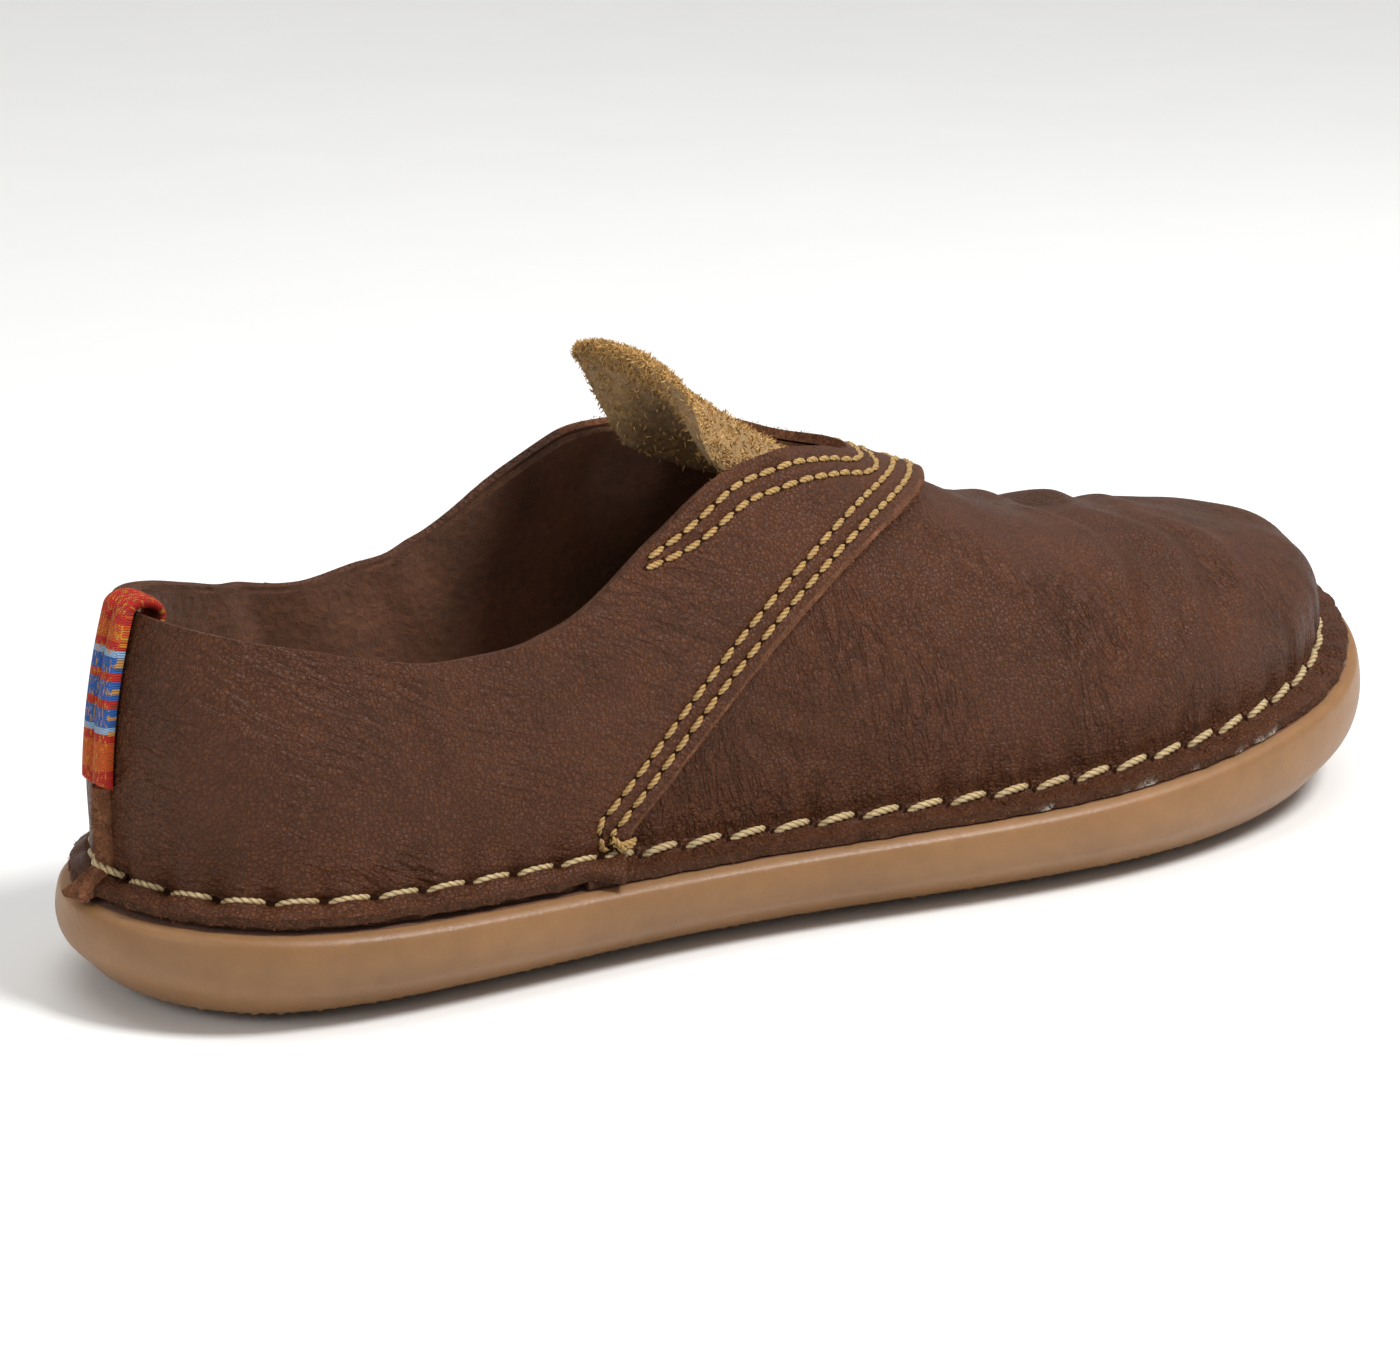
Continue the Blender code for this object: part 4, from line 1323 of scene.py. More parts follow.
@functools.lru_cache(maxsize=None)
def leather_material(name, gain, lean, wrinkling):
    """Waxed nubuck with pebbled grain, rust flecks, rubbed high places and painted shade in its wrinkle
    lines.
    """
    colours = bpy.context.scene.shoe_colours
    material, graph, shader = new_material(name, 0.22)
    grain = graph.effect(grain_effect(), {"Scale": 1150.0, "Lean": lean, "Wrinkling": wrinkling})
    tone = mottled(graph, colours.leather, 1.2 * gain, 0.72 * gain, 36.0)
    tone = graph.mix(graph.scaled(grain["Pore"], 0.6), tone, rgba(colours.leather, 0.35 * gain))
    tone = graph.mix(graph.scaled(grain["Top"], 0.44), tone, rgba(colours.fleck, gain))
    tone = graph.mix(graph.scaled(grain["Fleck"], 0.25), tone, rgba(colours.fleck, 1.1 * gain))
    # painted shade: the creases of the wrinkle lines are darkened in the colour
    tone = graph.mix(graph.scaled(grain["Line"], 0.5), tone, rgba(colours.leather, 0.3 * gain))
    graph.put(shader["Base Color"], tone)
    graph.put(shader["Roughness"], graph.math("ADD", graph.scaled(grain["Top"], 0.25), 0.45))
    graph.put(shader["Normal"], graph.bump(grain["Height"], 0.00036, 0.9))
    return material


@functools.lru_cache(maxsize=None)
def cut_material(name, gain):
    """Fibrous cut edge of the leather, with crumbs of glue where the mesh says so."""
    colours = bpy.context.scene.shoe_colours
    material, graph, shader = new_material(name, 0.2, 0.9)
    nap = graph.effect(nap_effect(), {"Scale": 900.0})
    tone = mottled(graph, colours.cut_edge, 1.75 * gain, 0.7 * gain, 160.0)
    tone = graph.mix(nap["Shade"], rgba(colours.cut_edge, 0.4 * gain), tone)
    crumbs = graph.scaled(graph.shade(), graph.window(nap["Shade"], 0.35, 0.6))
    graph.put(shader["Base Color"], graph.mix(crumbs, tone, rgba(DRIED_GLUE)))
    graph.put(shader["Normal"], graph.bump(nap["Height"], 0.0006, 1.0))
    return material


@functools.lru_cache(maxsize=None)
def flesh_material():
    """Rough flesh side of the leather, seen inside the collar."""
    colours = bpy.context.scene.shoe_colours
    material, graph, shader = new_material("Flesh side", 0.2, 0.92)
    nap = graph.effect(nap_effect(), {"Scale": 520.0})
    graph.put(shader["Base Color"], mottled(graph, colours.cut_edge, 1.15, 0.6, 70.0))
    graph.put(shader["Normal"], graph.bump(nap["Height"], 0.0005, 0.9))
    shader["Sheen Weight"].default_value = 0.15
    return material


@functools.lru_cache(maxsize=None)
def suede_material(name, gain, scale):
    """Tan suede with a ruffled nap."""
    colours = bpy.context.scene.shoe_colours
    material, graph, shader = new_material(name, 0.15, 0.95)
    nap = graph.effect(nap_effect(), {"Scale": scale})
    ground = mottled(graph, colours.suede, 1.15 * gain, 0.75 * gain, 90.0)
    dark = graph.mix(1.0, ground, rgba(SUEDE_SHADOW), "MULTIPLY")
    graph.put(shader["Base Color"], graph.mix(nap["Shade"], dark, ground))
    graph.put(shader["Normal"], graph.bump(nap["Height"], 0.0007, 1.0))
    shader["Sheen Weight"].default_value = 0.25
    return material


@functools.lru_cache(maxsize=None)
def hair_material(name, colour, light, dark):
    """Single fibres, each with its own shade."""
    material, graph, shader = new_material(name, 0.2, 0.8)
    graph.put(shader["Base Color"], graph.mix(graph.shade(), rgba(colour, dark), rgba(colour, light)))
    return material


@functools.lru_cache(maxsize=None)
def gum_material(name, gain):
    """Amber gum rubber, a little clear, with a fine wormy skin."""
    colours = bpy.context.scene.shoe_colours
    material, graph, shader = new_material(name, 0.42)
    worm = graph.noise(graph.place(), 520.0, 2.0, 0.5, 2.2)
    graph.put(shader["Base Color"], mottled(graph, colours.gum, 1.12 * gain, 0.84 * gain, 26.0))
    graph.put(shader["Roughness"], graph.math("ADD", graph.scaled(worm, 0.16), 0.36))
    graph.put(shader["Normal"], graph.bump(worm, 0.00012, 0.7))
    shader["Subsurface Weight"].default_value = 0.22
    shader["Subsurface Radius"].default_value = (1.0, 0.5, 0.2)
    shader["Subsurface Scale"].default_value = 0.004
    return material


@functools.lru_cache(maxsize=None)
def strand_material(name, colour, turn):
    """Twisted waxed thread with a silky gloss and painted shade in the grooves between its strands."""
    material, graph, shader = new_material(name, 0.5, 0.38)
    strand = graph.effect(strand_effect(), {"Turn": turn})
    tone = graph.mix(strand["Shade"], rgba(colour, 0.8), rgba(colour, 1.1))
    # painted shade: the grooves between the strands are darkened in the colour
    painted_groove_shade = tuple(0.45 * c * k for c, k in zip(colour, (1.0, 0.85, 0.65)))
    graph.put(shader["Base Color"], graph.mix(strand["Groove shade"], tone, rgba(painted_groove_shade)))
    graph.put(shader["Normal"], graph.bump(strand["Height"], 0.00006, 0.8))
    return material


@functools.lru_cache(maxsize=None)
def hole_shade_material():
    """Painted shade: the dark inside of a stitch hole."""
    colours = bpy.context.scene.shoe_colours
    material, graph, shader = new_material("Stitch hole shade", 0.1, 0.9)
    graph.put(shader["Base Color"], mottled(graph, colours.leather, 0.35, 0.12, 300.0))
    return material


def leather_set(name, gain, lean, wrinkling):
    """Materials of a sheet of leather, in the order of its material numbers."""
    return [leather_material(name, gain, lean, wrinkling), flesh_material(),
            cut_material("Cut edge", 1.0), cut_material("Raw flange edge", 0.5)]


def smooth_rows(table, per_step):
    """Rows of a section table with more rows on a smooth curve between them."""
    place = np.arange(len(table), dtype=float)
    fine = np.linspace(0.0, len(table) - 1.0, per_step * (len(table) - 1) + 1)
    columns = []
    for key in ("inset", "share", "lift"):
        columns.append(open_spline(place, [getattr(row, key) for row in table])(fine))
    return list(zip(*columns))


def ring_ribs(half_count):
    """Rib numbers once round the sole, the same on both sides."""
    half = np.linspace(0.0, LAST_RIB, half_count)
    return np.concatenate([half, LOOP - half[-2:0:-1]])


def section_row(w, inset, share, lift):
    """Ring of points of the gum cup's section."""
    x, y = inset_point(w, inset)
    return np.stack([x, y, sole_floor(x) * (1.0 - share) + share * rim_z(w) + lift], axis=-1)


def crossed(ring, flip):
    """Faces that fill a ring of points with strips from one side to the other."""
    faces = []
    count = len(ring)
    for k in range(count // 2):
        corners = [ring[k], ring[k + 1], ring[(count - k - 1) % count], ring[(count - k) % count]]
        face = [a for i, a in enumerate(corners) if a not in corners[:i]]
        if len(face) > 2:
            faces.append(face if flip else face[::-1])
    return faces


def tread_height(x, y, outline):
    """Height of the nubs' tips over a place of the sole, and the distance in from the outline."""
    inset = nearest(np.stack([x, y, np.zeros_like(x)], axis=-1), outline)[0]
    curve = open_spline([row.inset for row in TREAD[::-1]], [row.lift for row in TREAD[::-1]])
    return sole_floor(x) + np.where(inset > TREAD[0].inset, 0.0, curve(inset)), inset


def inside_outline(x, y, outline):
    """Whether each place lies inside a closed line, by counting the sides it crosses."""
    inside = np.zeros(x.shape, dtype=bool)
    corners = outline[:-1, :2]
    for (ax, ay), (bx, by) in zip(corners, np.roll(corners, -1, axis=0)):
        crosses = (ay > y) != (by > y)
        if crosses.any():
            inside ^= crosses & (x < ax + (y - ay) * (bx - ax) / (by - ay + 1e-12))
    return inside


def nub_tips(pitch, outline):
    """Tips of the nubs, in offset rows over the tread."""
    rows = np.arange(-NUB_GRID_HALF_WIDTH, NUB_GRID_HALF_WIDTH, pitch * math.sqrt(0.75))
    x, y = np.meshgrid(np.arange(0.0, NUB_GRID_LENGTH, pitch), rows)
    x = (x + 0.5 * pitch * (np.arange(len(rows)) % 2)[:, None]).ravel()
    y = y.ravel()
    inside = inside_outline(x, y, outline)
    x = x[inside]
    y = y[inside]
    z, inset = tread_height(x, y, outline)
    return np.stack([x, y, z], axis=-1)[inset > TREAD[-1].inset + 0.1 * pitch]


def tread_normals(x, y, outline):
    """Unit normals of the tread, pointing down."""
    d = 0.3
    dx = (tread_height(x + d, y, outline)[0] - tread_height(x - d, y, outline)[0]) / (2.0 * d)
    dy = (tread_height(x, y + d, outline)[0] - tread_height(x, y - d, outline)[0]) / (2.0 * d)
    return unit(np.stack([dx, dy, -np.ones_like(dx)], axis=-1))


class SHOE_OT_sole(bpy.types.Operator):
    """Mould the gum cup and the nubs of its tread"""

    bl_idname = "shoe.sole"
    bl_label = "Mould Sole"

    def execute(self, context):
        sizes = context.scene.shoe_sizes
        self.cup(millimetres(sizes.nub_height))
        self.nubs(millimetres(sizes.nub_pitch), millimetres(sizes.nub_height))
        return {"FINISHED"}

    def cup(self, nub_height):
        """Cup from its tread up the bulging wall, over the rim and down to the footbed."""
        w = ring_ribs(181)
        count = len(w)
        rows = [section_row(w, row.inset, row.share, row.lift + nub_height) for row in TREAD]
        rows += [section_row(w, *row) for row in smooth_rows(GUM_WALL, 5)]
        rows.append(section_row(w, CUP_INSET, 1.0, 0.0))
        rows.append(section_row(w, CUP_INSET, 0.0, FLOOR_THICKNESS + FOOTBED_CORNER))
        rows.append(section_row(w, CUP_INSET + FOOTBED_CORNER, 0.0, FLOOR_THICKNESS))
        points = np.concatenate(rows)
        around_it = grid_faces(len(rows), count, True)
        bottom = crossed(list(range(count)), False)
        floor = crossed(list(range(len(points) - count, len(points))), True)
        inside = 3 * count
        numbers = [0] * (len(around_it) - inside) + [1] * inside + [0] * len(bottom) + [1] * len(floor)
        materials = [gum_material("Gum wall", 1.0), flesh_material()]
        make_piece("gum_cup", points, around_it + bottom + floor, materials, numbers,
                   node="outsole", sharp=38.0)

    def nubs(self, pitch, height):
        """Domed nubs standing square on the tread, each of them closed."""
        outline = np.stack([edge_x(ALL_ROUND), edge_y(ALL_ROUND), np.zeros_like(ALL_ROUND)], axis=-1)
        tips = nub_tips(pitch, outline)
        normals = tread_normals(tips[:, 0], tips[:, 1], outline)
        circle = circles(normals, (0.0, 1.0, 0.0), NUB_SIDES)
        rings = [tips[:, None]]
        for turn in NUB_TURNS:
            radius = math.sin(turn) * 0.5 * NUB_WIDTH * pitch
            drop = (1.0 - math.cos(turn)) * (height + NUB_ROOT)
            rings.append(tips[:, None] - drop * normals[:, None] + radius * circle)
        one = [[0, 1 + k, 1 + (k + 1) % NUB_SIDES] for k in range(NUB_SIDES)]
        one += [[a, d, c, b] for a, b, c, d in grid_faces(3, NUB_SIDES, True, 1)]
        one.append(list(range(1 + 2 * NUB_SIDES, 1 + 3 * NUB_SIDES))[::-1])
        faces = repeated(one, 1 + 3 * NUB_SIDES, len(tips))
        make_piece("tread_nubs", np.concatenate(rings, axis=1).reshape(-1, 3), faces,
                   [gum_material("Gum tread", 1.08)], sharp=80.0)


class SHOE_OT_insole(bpy.types.Operator):
    """Lay the suede sock on the cup's floor"""

    bl_idname = "shoe.insole"
    bl_label = "Lay Insole"

    def execute(self, context):
        w = ring_ribs(121)
        count = len(w)
        low = FLOOR_THICKNESS + GAP
        high = low + INSOLE_THICKNESS
        bevel = INSOLE_BEVEL
        section = [(bevel, low), (0.0, low + bevel), (0.0, high - bevel)]
        section += [(0.35 * bevel, high - 0.3 * bevel), (bevel, high)]
        rows = [section_row(w, INSOLE_INSET + inset, 0.0, lift) for inset, lift in section]
        points = np.concatenate(rows)
        faces = grid_faces(len(rows), count, True) + crossed(list(range(count)), False)
        faces += crossed(list(range(len(points) - count, len(points))), True)
        make_piece("insole_suede", points, faces, [suede_material("Insole suede", 0.9, 420.0)],
                   node="insole")
        return {"FINISHED"}


class SHOE_OT_upper(bpy.types.Operator):
    """Last the vamp over the forefoot and the lining behind it"""

    bl_idname = "shoe.upper"
    bl_label = "Last Upper"

    def execute(self, context):
        vamp = Sheet()
        vamp.vamp(VAMP_LAP, VAMP_EDGE)
        points, faces, numbers, glue = vamp.solid(vamp_face, -UPPER_WALL, SEEDS.vamp)
        make_piece("vamp_leather", points, faces, leather_set("Vamp leather", 0.94, 0.15, 1.0), numbers,
                   node="upper", shade=glue)
        lining = Sheet()
        lining.quarters(VAMP_LAP, LINING_TOP, LINING_EDGE)
        points, faces, numbers = lining.solid(lining_face, -UPPER_WALL, SEEDS.lining)[:3]
        rough = cut_material("Raw flange edge", 0.5)
        make_piece("lining", points, faces, [rough, flesh_material(), rough, rough], numbers)
        return {"FINISHED"}


class SHOE_OT_quarters(bpy.types.Operator):
    """Lay the quarters over the vamp and close their heel seam"""

    bl_idname = "shoe.quarters"
    bl_label = "Lay Quarters"

    def execute(self, context):
        sheet = Sheet()
        sheet.quarters(0.0, 1.0, QUARTER_EDGE)
        points, faces, numbers = sheet.solid(quarter_face, GAP, SEEDS.quarters, RUBBED_AND_LIT_EDGE)[:3]
        make_piece("quarter_leather", points, faces, leather_set("Quarter leather", 1.0, 1.1, 0.6), numbers,
                   node="quarters")
        self.heel_seam()
        return {"FINISHED"}

    def heel_seam(self):
        """Raised cut edges of both quarters, sewn together down the heel."""
        run, grid = heel_run()
        drop = np.linspace(TAB_DROP + 0.3, run[-1], 130)
        v = np.interp(drop, run, grid)
        w = np.zeros_like(v)
        rng = np.random.default_rng(SEEDS.seam)
        end = np.clip(-1.4 - v, 0.0, 1.4)
        rows = []
        for y, depth in SEAM_PROFILE:
            rough = 0.3 * ripple(drop, int(100.0 * (y + 3.0)), 1.4, 14.0) + rng.normal(0.0, 0.07, len(drop))
            p = layer(w, v, depth * (1.0 - 0.16 * end) + rough * (1.0 + end) - droop(w, v))
            sway = 0.25 * ripple(drop, SEEDS.sway, 6.0, 30.0) + rng.normal(0.0, 0.06, len(drop))
            p[:, 1] += y * (1.0 + 0.25 * end) + sway
            p[:, 0] += end * ripple(np.full_like(drop, 9.0 * y), SEEDS.seam_end, 5.0, 30.0)
            rows.append(p)
        points = np.stack(rows, axis=1).reshape(-1, 3)
        # painted light: the seam's cut edge is 1.6 times as light as the plain cut edge, to offset the shade
        # at the heel
        make_piece("heel_seam", points, tube_faces(len(drop), len(SEAM_PROFILE)),
                   [cut_material("Heel seam edge with painted light", 1.6)], sharp=70.0)


def stitch_runs(line, pitch, gap):
    """Starts and stops of whole stitches along a line, as far from both of its ends."""
    count = int(line.length // pitch)
    starts = 0.5 * (line.length - count * pitch) + pitch * np.arange(count) + 0.5 * gap
    return starts, starts + pitch - gap


class Strands:
    """Gathers twisted stitches and their holes into joined meshes."""

    def __init__(self, thickness, turn):
        self.radius = 0.5 * thickness
        self.turn = turn
        self.points = []
        self.faces = []
        self.uv = []
        self.count = 0
        self.holes = []

    def add(self, paths, ups):
        """Take in stitches given by their paths."""
        points, faces, uv = twisted(paths, ups, self.radius, self.turn)
        self.faces.extend([[self.count + a for a in face] for face in faces])
        self.count += len(points)
        self.points.append(points)
        self.uv.append(uv)

    def sew(self, line, starts, stops, face, steps=11, slant=0.0):
        """Stitches along a line of the wall, with a hole at each end."""
        paths, ups = sewn(line, starts, stops, self.radius, face, steps, slant)
        self.add(paths, ups)
        for u, share in ((starts, -0.5), (stops, 0.5)):
            w, v = line.at(u)
            v = v + share * slant
            self.holes.append((layer(w, v, face(w, v) + 0.1), wall_normal(w, v)))

    def make(self, name, material):
        """Make the joined threads and the joined holes."""
        make_piece(name, np.concatenate(self.points), self.faces, [material],
                   uv=np.concatenate(self.uv), sharp=85.0)
        centres = np.concatenate([hole[0] for hole in self.holes])
        normals = np.concatenate([hole[1] for hole in self.holes])
        ring = 1.25 * self.radius * circles(normals, (0.3, 0.2, 0.93), HOLE_SIDES)
        low = centres[:, None] + 0.6 * ring - 0.9 * normals[:, None]
        points = np.concatenate([centres[:, None] + ring, low], axis=1)
        one = [list(range(HOLE_SIDES)), list(range(HOLE_SIDES, 2 * HOLE_SIDES))[::-1]]
        one += [[a, d, c, b] for a, b, c, d in grid_faces(2, HOLE_SIDES, True)]
        faces = repeated(one, 2 * HOLE_SIDES, len(centres))
        # dark bowls of painted shade inside the stitch holes
        make_piece(name + "_holes", points.reshape(-1, 3), faces, [hole_shade_material()])


class SHOE_OT_sewing(bpy.types.Operator):
    """Sew the cord round the rim and the rows of thread on the quarters"""

    bl_idname = "shoe.sewing"
    bl_label = "Sew Seams"

    def execute(self, context):
        sizes = context.scene.shoe_sizes
        colours = context.scene.shoe_colours
        self.rim(millimetres(sizes.cord_thickness),
                 strand_material("Rim cord", tuple(colours.cord), CORD_TURN))
        self.rows(millimetres(sizes.thread_thickness), millimetres(sizes.stitch_pitch),
                  strand_material("Upper thread", tuple(colours.thread), THREAD_TURN))
        return {"FINISHED"}

    def rim(self, thickness, material):
        """Slanting stitches of cord once round the foot of the wall."""
        cord = Strands(thickness, CORD_TURN)
        pitch = rim_line().length / cord_count()
        w = np.linspace(-0.5, LOOP + 0.5, 2551)
        line = Line(w, np.full_like(w, CORD_SHARE))
        heel = np.interp(0.0, line.w, line.run)
        starts = heel + pitch * (np.arange(cord_count()) - 0.5) + 0.5 * CORD_GAP
        cord.sew(line, starts, starts + pitch - CORD_GAP, flange_face, 17, CORD_SLANT)
        cord.make("rim_cord", material)

    def rows(self, thickness, pitch, material):
        """Double rows on the quarters and one row beside the heel seam."""
        thread = Strands(thickness, THREAD_TURN)
        for line in sewn_rows():
            thread.sew(line, *stitch_runs(line, pitch, STITCH_GAP), quarter_face)
        run, v = heel_run()
        below = v[(run > TAB_DROP - 3.0) & (v > SEAM_ROW_END)]
        seam = Line(np.full_like(below, LOOP - SEAM_ROW), below)
        thread.sew(seam, *stitch_runs(seam, SEAM_STITCH_PITCH, SEAM_STITCH_GAP), quarter_face)
        self.back_tacks(thread)
        thread.make("upper_thread", material)

    def back_tacks(self, thread):
        """Crossing stitches that lock the ends of the front rows."""
        first, second = sewn_rows()[:2]
        for side in (0, 1):
            for from_u, to_u in BACK_TACKS:
                w_a, v_a = first.at(first.length - from_u if side else from_u)
                w_b, v_b = second.at(second.length - to_u if side else to_u)
                line = Line(np.linspace(w_a, w_b, 20), np.linspace(v_a, v_b, 20))
                thread.sew(line, np.array([-0.2]), np.array([line.length + 0.2]), raised_face)


def make_fibres(name, roots, leans, lengths, radius, material, rng):
    """Piece of many bent fibres, each with a shade of its own."""
    points, faces = bent_hairs(roots, leans, lengths, radius, rng)
    shade = np.repeat(rng.random(len(roots)), 3 * HAIR_SIDES)
    make_piece(name, points, faces, [material], shade=shade)


class SHOE_OT_fray(bpy.types.Operator):
    """Grow loose fibres on the cut edges of the leather"""

    bl_idname = "shoe.fray"
    bl_label = "Fray Cut Edges"

    def execute(self, context):
        length = millimetres(context.scene.shoe_sizes.fray_length)
        colour = tuple(context.scene.shoe_colours.cut_edge)
        rng = np.random.default_rng(SEEDS.fray)
        t = np.linspace(0.0, 1.0, 400)
        found = []
        for side, turn in ((0, 1.0), (1, -1.0)):
            found.append(self.border(mirrored(front_edge(t), side), t, FRONT_FIBRES, -turn, rng))
            found.append(self.border(*facing_line(side), FACING_FIBRES, turn, rng))
        found.append(self.seam(rng))
        found.append(self.flange(rng))
        roots = np.concatenate([root for root, lean in found])
        leans = np.concatenate([lean for root, lean in found])
        lengths = length * rng.uniform(0.4, 1.3, len(roots))
        make_fibres("cut_edge_fray", roots, leans, lengths, FRAY_RADIUS,
                    hair_material("Loose fibre", colour, 1.5, 0.5), rng)
        return {"FINISHED"}

    def border(self, w, v, count, turn, rng):
        """Roots and leans along a border of the quarters, with its open side on the left or right."""
        line = Line(w, v)
        w, v = line.at(np.sort(rng.uniform(0.0, line.length, count)))
        p = layer(w, v, QUARTER_FACE - rng.uniform(0.1, QUARTER_WALL, count))
        normal = wall_normal(w, v)
        out = turn * np.cross(normal, np.gradient(wall_surface(w, v), axis=0))
        out = out / (np.linalg.norm(out, axis=1, keepdims=True) + 1e-9)
        return p, 0.5 * out + 0.35 * normal + 0.7 * rng.normal(size=p.shape)

    def seam(self, rng):
        """Roots and leans on the raised edges of the heel seam."""
        run, grid = heel_run()
        v = np.interp(rng.uniform(TAB_DROP, run[-1], SEAM_FIBRES), run, grid)
        w = np.zeros_like(v)
        across, depths = zip(*SEAM_PROFILE[2:])
        y = rng.uniform(SEAM_PROFILE[0][0], SEAM_PROFILE[-1][0], len(v))
        p = layer(w, v, np.interp(y, across, depths) - droop(w, v))
        p[:, 1] += y
        return p, 0.5 * wall_normal(w, v) + 0.8 * rng.normal(size=p.shape)

    def flange(self, rng):
        """Roots and leans on the raw edge round the rim."""
        w = rng.uniform(0.0, LOOP, FLANGE_FIBRES)
        on_vamp = from_heel(w) > FRONT_EDGE_FOOT
        edge = np.full_like(w, FRAY_SHARE)
        v = np.where(on_vamp, ragged(w, edge, *VAMP_EDGE), ragged(w, edge, *QUARTER_EDGE))
        top = np.where(on_vamp, 0.0, QUARTER_FACE - droop(w, v))
        nx, ny = outward(w)
        p = layer(w, v, top - rng.uniform(0.1, 0.9, len(w)) * UPPER_WALL)
        return p, np.stack([nx, ny, np.zeros_like(nx)], axis=-1) + 0.9 * rng.normal(size=p.shape)


def share_at_width(w, width):
    """v on a rib where the wall is a given distance from the ridge."""
    grid = np.linspace(1.0, 0.0, 401)
    run = run_length(wall_surface(np.full(grid.shape, w), grid))
    return np.interp(width, run, grid)


class SHOE_OT_tongue(bpy.types.Operator):
    """Cut the suede tongue and raise its nap"""

    bl_idname = "shoe.tongue"
    bl_label = "Cut Tongue"

    def execute(self, context):
        outer, inner = self.sides()
        self.pad(outer, inner)
        self.nap(outer, inner, context)
        return {"FINISHED"}

    def sides(self):
        """Grids of the outer and the inner face, from under the bridge to the free end."""
        across = np.sin(0.5 * math.pi * np.linspace(-1.0, 1.0, 61))
        steps = np.linspace(0.0, len(TONGUE) - 1.0, 90)
        places = open_spline(np.arange(len(TONGUE)), [t.ridge for t in TONGUE])(steps)
        widths = open_spline(np.arange(len(TONGUE)), [t.half_width for t in TONGUE])(steps)
        w = np.zeros((len(steps), len(across)))
        v = np.zeros_like(w)
        lift = np.zeros(w.shape + (3,))
        for i, place in enumerate(places):
            s = float(ridge_rib(place))
            for side in (0, 1):
                chosen = across > 0.0 if side else across <= 0.0
                w[i, chosen] = mirrored(s, side)
                v[i, chosen] = share_at_width(mirrored(s, side), np.abs(across[chosen]) * widths[i])
            free = np.clip((TONGUE_FREE_FROM - place) / TONGUE_FREE_RUN, 0.0, 1.0)
            row = wall_surface(w[i], v[i])
            flat = row[len(across) // 2] + np.outer(across * widths[i], (0.0, 1.0, 0.0))
            lift[i] = TONGUE_FLATNESS * free * free * (3.0 - 2.0 * free) * (flat - row)
        run = np.minimum(1.0, 0.25 * (1.0 - np.abs(across)) * widths[:, None])
        end = np.minimum(1.0, 0.3 * (places - places[-1]))[:, None]
        crown = np.sqrt(np.clip(np.minimum(run, end), 0.0, 1.0))
        half = 0.5 * TONGUE_THICKNESS
        middle = -UPPER_WALL - TONGUE_CLEARANCE - half
        swell = 0.18 * ripple(7.0 * across[None, :] + 0.31 * places[:, None], SEEDS.tongue, 2.0, 11.0)
        outer = layer(w, v, middle + half * crown + swell * crown) + lift
        return outer, layer(w, v, middle - half * crown) + lift

    def pad(self, outer, inner):
        """Closed pad between the two faces."""
        rows, columns = outer.shape[:2]
        size = rows * columns
        faces = grid_faces(rows, columns)
        faces += [face[::-1] for face in grid_faces(rows, columns, False, size)]
        ids = np.arange(size).reshape(rows, columns)
        ring = np.concatenate([ids[0], ids[1:, -1], ids[-1, -2::-1], ids[-2:0:-1, 0]]).tolist()
        for a, b in zip(ring, ring[1:] + ring[:1]):
            faces.append([b, a, a + size, b + size])
        points = np.concatenate([outer.reshape(-1, 3), inner.reshape(-1, 3)])
        make_piece("tongue_suede", points, faces, [suede_material("Tongue suede", 1.0, 480.0)],
                   node="tongue", sharp=75.0)

    def nap(self, outer, inner, context):
        """Short curled fibres on both faces, closest on the part of the tongue that shows."""
        rng = np.random.default_rng(SEEDS.nap)
        roots, normals = [], []
        for grid, turn, count in ((outer, 1.0, OUTER_NAP_FIBRES), (inner, -1.0, INNER_NAP_FIBRES)):
            rows, columns = grid.shape[:2]
            i = np.minimum((rows - 1) * rng.random(count) ** 0.75, rows - 1.001)
            k = (columns - 1.001) * (0.5 - np.arcsin(rng.uniform(-1.0, 1.0, count)) / math.pi)
            a, b = i.astype(int), k.astype(int)
            f, g = (i - a)[:, None], (k - b)[:, None]
            near = (1 - g) * grid[a, b] + g * grid[a, b + 1]
            far = (1 - g) * grid[a + 1, b] + g * grid[a + 1, b + 1]
            n = turn * np.cross(grid[a, b + 1] - grid[a, b], grid[a + 1, b] - grid[a, b])
            roots.append((1 - f) * near + f * far)
            normals.append(n / (np.linalg.norm(n, axis=1, keepdims=True) + 1e-9))
        roots = np.concatenate(roots)
        normals = np.concatenate(normals)
        leans = 0.4 * normals + 0.75 * rng.normal(size=roots.shape)
        lengths = millimetres(context.scene.shoe_sizes.nap_length) * rng.uniform(0.6, 1.3, len(roots))
        colour = tuple(context.scene.shoe_colours.suede)
        make_fibres("tongue_nap", roots - 0.15 * normals, leans, lengths, NAP_RADIUS,
                    hair_material("Suede fibre", colour, 1.25, 0.6), rng)


def heel_line(drop, depth):
    """Points of the heel's middle line at drops below the collar, at a depth over the wall."""
    v = np.interp(drop, *heel_run())
    return layer(np.zeros_like(v), v, depth)


